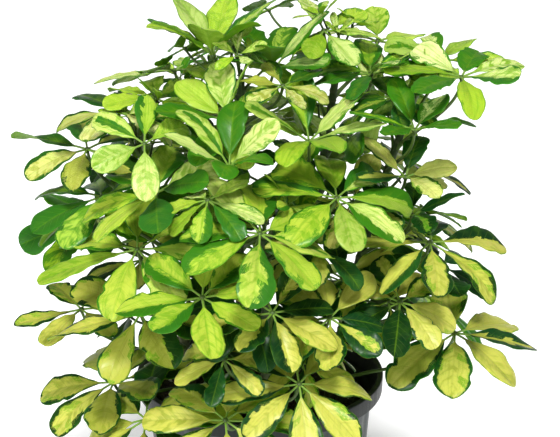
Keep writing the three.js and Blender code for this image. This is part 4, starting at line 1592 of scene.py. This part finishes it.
def tone_materials(settings):
    """One leaf material for each tone: its pale middle when old and when young, its deeper pale, its
    patches and its edge."""
    gold, lime, green, dark = (
        tint(colour) for colour in (settings.gold, settings.lime, settings.green, settings.dark)
    )

    def blend(one, other, share):
        """One colour with a share of another."""
        return tuple(a + (b - a) * share for a, b in zip(one, other))

    olive = blend(gold, OLIVE, 0.55)
    lemon = blend(gold, lime, 0.45)
    leafy = blend(green, dark, 0.35)
    looks = {
        "gold": (gold, lemon, olive, blend(green, lime, 0.35), dark),
        "lime": (lemon, lime, blend(lime, green, 0.55), green, leafy),
        "green": (lime, lime, green, green, leafy),
        "dark": (olive, olive, green, green, dark),
    }
    return {tone: leaf_material(f"leaf_{tone}", settings, *colours) for tone, colours in looks.items()}


class PLANT_OT_leaves(bpy.types.Operator):
    """Replace each packed leaf by a finely shaped umbrella of variegated leaflets"""

    bl_idname = "plant.leaves"
    bl_label = "Umbrella leaves"

    def execute(self, context):
        settings = context.scene.plant_leaf
        materials = tone_materials(settings)
        stalk = stalk_material(settings)
        for leaf in packed_leaves():
            skin = Skin()
            add_umbrella(skin, settings, leaf)
            look = [materials[leaf.tone], stalk]
            name = leaf.node.replace("leaf", "umbrella")
            add_piece(name, skin.mesh(), look, [leaf.node])
        return {"FINISHED"}


class PLANT_OT_shade_leaves(bpy.types.Operator):
    """Add small leaves deep in the crown, clear of everything else"""

    bl_idname = "plant.shade_leaves"
    bl_label = "Shade leaves"

    def execute(self, context):
        settings = context.scene.plant_leaf
        materials = tone_materials(settings)
        stalk = stalk_material(settings)
        coarse = plain_copy(settings, blade_rows=SHADE_BLADE_ROWS)
        skins = {}
        for leaf in shade_leaves(settings, [crown_tree()]):
            name = f"shade_leaves_{list(CANES)[leaf.number]}_{leaf.tone}"
            skin = skins.setdefault((name, leaf.tone), Skin())
            add_umbrella(skin, coarse, leaf)
        for (name, tone), skin in skins.items():
            add_piece(name, skin.mesh(), [materials[tone], stalk])
        return {"FINISHED"}


class PLANT_OT_canes(bpy.types.Operator):
    """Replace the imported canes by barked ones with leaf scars, and add their growing tips"""

    bl_idname = "plant.canes"
    bl_label = "Canes and young shoots"

    def execute(self, context):
        settings = context.scene.plant_cane
        leaf_settings = context.scene.plant_leaf
        bark = cane_material(settings)
        young = tone_materials(leaf_settings)["lime"]
        stalk = stalk_material(leaf_settings)
        for number, (name, cane) in enumerate(CANES.items()):
            draw = random_draws(BARK_SEED + number)
            wood, shoot = Skin(), Skin()
            wood.add(*cane_rings(settings, cane, draw), 0)
            tip_shoot(shoot, leaf_settings, cane, draw)
            add_piece(f"barked_cane_{name}", wood.mesh(), [bark], [f"cane_{name}"])
            add_piece(f"young_shoot_{name}", shoot.mesh(), [young, stalk])
        return {"FINISHED"}


class PLANT_OT_pot(bpy.types.Operator):
    """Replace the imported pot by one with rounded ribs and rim"""

    bl_idname = "plant.pot"
    bl_label = "Nursery pot"

    def execute(self, context):
        settings = context.scene.plant_pot
        add_piece("nursery_pot", pot_mesh(settings), [pot_material(settings)], ["pot"])
        return {"FINISHED"}


class PLANT_OT_soil(bpy.types.Operator):
    """Replace the packed soil by a crumbly bed with loose crumbs and perlite"""

    bl_idname = "plant.soil"
    bl_label = "Soil"

    def execute(self, context):
        settings = context.scene.plant_pot
        soil = soil_material(settings)
        draw = random_draws(LUMP_SEED)
        crumbs = scatter_lumps(draw, settings.crumbs, CRUMB_SIZES)
        grains = scatter_lumps(draw, PERLITE_GRAINS, GRAIN_SIZES)
        add_piece("soil_bed", soil_mesh(), [soil], ["soil"])
        add_piece("soil_crumbs", crumbs, [soil])
        add_piece("perlite_grains", grains, [perlite_material()])
        return {"FINISHED"}


def add_floor(settings):
    """A wide flat floor that glows a little, so that it stays as pale as the backdrop."""
    half = FLOOR_HALF_SIZE
    corners = [(-half, -half, 0), (half, -half, 0), (half, half, 0), (-half, half, 0)]
    mesh = bpy.data.meshes.new("studio_floor")
    mesh.from_pydata(corners, [], [(0, 1, 2, 3)])
    r = Recipe("studio_floor")
    pale = tint(settings.floor)
    shade = r.mix(r.noise(r.spot(), 0.8, 2.0), pale, tint(settings.floor, 0.985))
    mesh.materials.append(
        r.finish(base_color=shade, roughness=0.9, emission_color=pale, emission_strength=0.2)
    )
    add_object("studio_floor", mesh)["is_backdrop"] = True


def add_surroundings(scene, settings):
    """A white backdrop that the camera sees in full, but that lights the plant only softly."""
    world = bpy.data.worlds.new("studio")
    world.use_nodes = True
    nodes, links = world.node_tree.nodes, world.node_tree.links
    background = nodes["Background"]
    background.inputs["Color"].default_value = (1, 1, 1, 1)
    rays = nodes.new("ShaderNodeLightPath")
    strength = nodes.new("ShaderNodeMapRange")
    strength.inputs["To Min"].default_value = settings.sky
    links.new(rays.outputs["Is Camera Ray"], strength.inputs["Value"])
    links.new(strength.outputs["Result"], background.inputs["Strength"])
    scene.world = world


def add_lights(settings):
    """Two soft boxes turned towards the crown, and an even light from high in front."""
    for name, place, width, height, power in SOFT_LIGHTS:
        data = bpy.data.lights.new(name, "AREA")
        data.shape = "RECTANGLE"
        data.size, data.size_y = width, height
        data.energy = power
        lamp = add_object(name, data)
        lamp.location = place
        towards = Vector(CROWN_MIDDLE) - Vector(place)
        lamp.rotation_euler = towards.to_track_quat("-Z", "Y").to_euler()
    sun = bpy.data.lights.new("high_light", "SUN")
    sun.energy = settings.high_light
    sun.angle = math.radians(HIGH_LIGHT_SPREAD)
    lamp = add_object("high_light", sun)
    lamp.rotation_euler = Vector(HIGH_LIGHT_FROM).to_track_quat("Z", "Y").to_euler()


def add_camera(scene, settings):
    """The camera at the photograph's angle. The photograph's middle lies right of and above the
    middle of the pot's rim."""
    angle = settings.camera_height_angle
    ahead = Vector((0, math.cos(angle), -math.sin(angle)))
    above = Vector((0, math.sin(angle), math.cos(angle)))
    middle = Vector((VIEW_MIDDLE[0], 0, POT_HEIGHT * MM)) + VIEW_MIDDLE[1] * above
    data = bpy.data.cameras.new("camera")
    data.lens = settings.lens
    data.sensor_width = SENSOR_WIDTH
    data.clip_start, data.clip_end = 0.05, 100
    camera = add_object("camera", data)
    camera.location = middle - ahead * settings.camera_distance
    camera.rotation_euler = ahead.to_track_quat("-Z", "Y").to_euler()
    scene.camera = camera


class PLANT_OT_stage(bpy.types.Operator):
    """Set up the pale floor, the soft lights and the camera at the photograph's angle"""

    bl_idname = "plant.stage"
    bl_label = "Studio and camera"

    def execute(self, context):
        scene = context.scene
        settings = scene.plant_stage
        add_floor(settings)
        add_surroundings(scene, settings)
        add_lights(settings)
        add_camera(scene, settings)
        scene.view_settings.view_transform = "Standard"
        scene.view_settings.gamma = VIEW_GAMMA
        return {"FINISHED"}


OPERATORS = [
    PLANT_OT_leaves,
    PLANT_OT_canes,
    PLANT_OT_shade_leaves,
    PLANT_OT_soil,
    PLANT_OT_pot,
    PLANT_OT_stage,
]
SETTINGS = {
    "plant_leaf": LeafSettings,
    "plant_cane": CaneSettings,
    "plant_pot": PotSettings,
    "plant_stage": StageSettings,
}


class PLANT_PT_panel(bpy.types.Panel):
    """Lists the plant's settings and its building steps"""

    bl_label = "Umbrella plant"
    bl_idname = "PLANT_PT_panel"
    bl_space_type = "VIEW_3D"
    bl_region_type = "UI"
    bl_category = "Plant"

    def draw(self, context):
        for label in SETTINGS:
            group = getattr(context.scene, label)
            for setting in group.__annotations__:
                self.layout.prop(group, setting)
        for operator in OPERATORS:
            self.layout.operator(operator.bl_idname)


def register():
    """Makes the settings, the steps and the panel known to Blender."""
    for group in (*SETTINGS.values(), *OPERATORS, PLANT_PT_panel):
        bpy.utils.register_class(group)
    for label, group in SETTINGS.items():
        setattr(bpy.types.Scene, label, PointerProperty(type=group))


def unregister():
    """Takes back what register did."""
    for label in SETTINGS:
        delattr(bpy.types.Scene, label)
    for group in (PLANT_PT_panel, *reversed(OPERATORS), *SETTINGS.values()):
        bpy.utils.unregister_class(group)


def write_sizes():
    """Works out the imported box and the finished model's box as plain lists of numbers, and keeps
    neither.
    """
    boxes = {"cad": CAD_BOX, "visual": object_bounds()}
    {name: [list(corner) for corner in box] for name, box in boxes.items()}


def main():
    """Builds the whole plant and its studio, and works out its sizes."""
    register()
    for operator in (
        bpy.ops.plant.leaves,
        bpy.ops.plant.canes,
        bpy.ops.plant.shade_leaves,
        bpy.ops.plant.soil,
        bpy.ops.plant.pot,
        bpy.ops.plant.stage,
    ):
        operator()
    write_sizes()


if __name__ == "__main__":
    main()
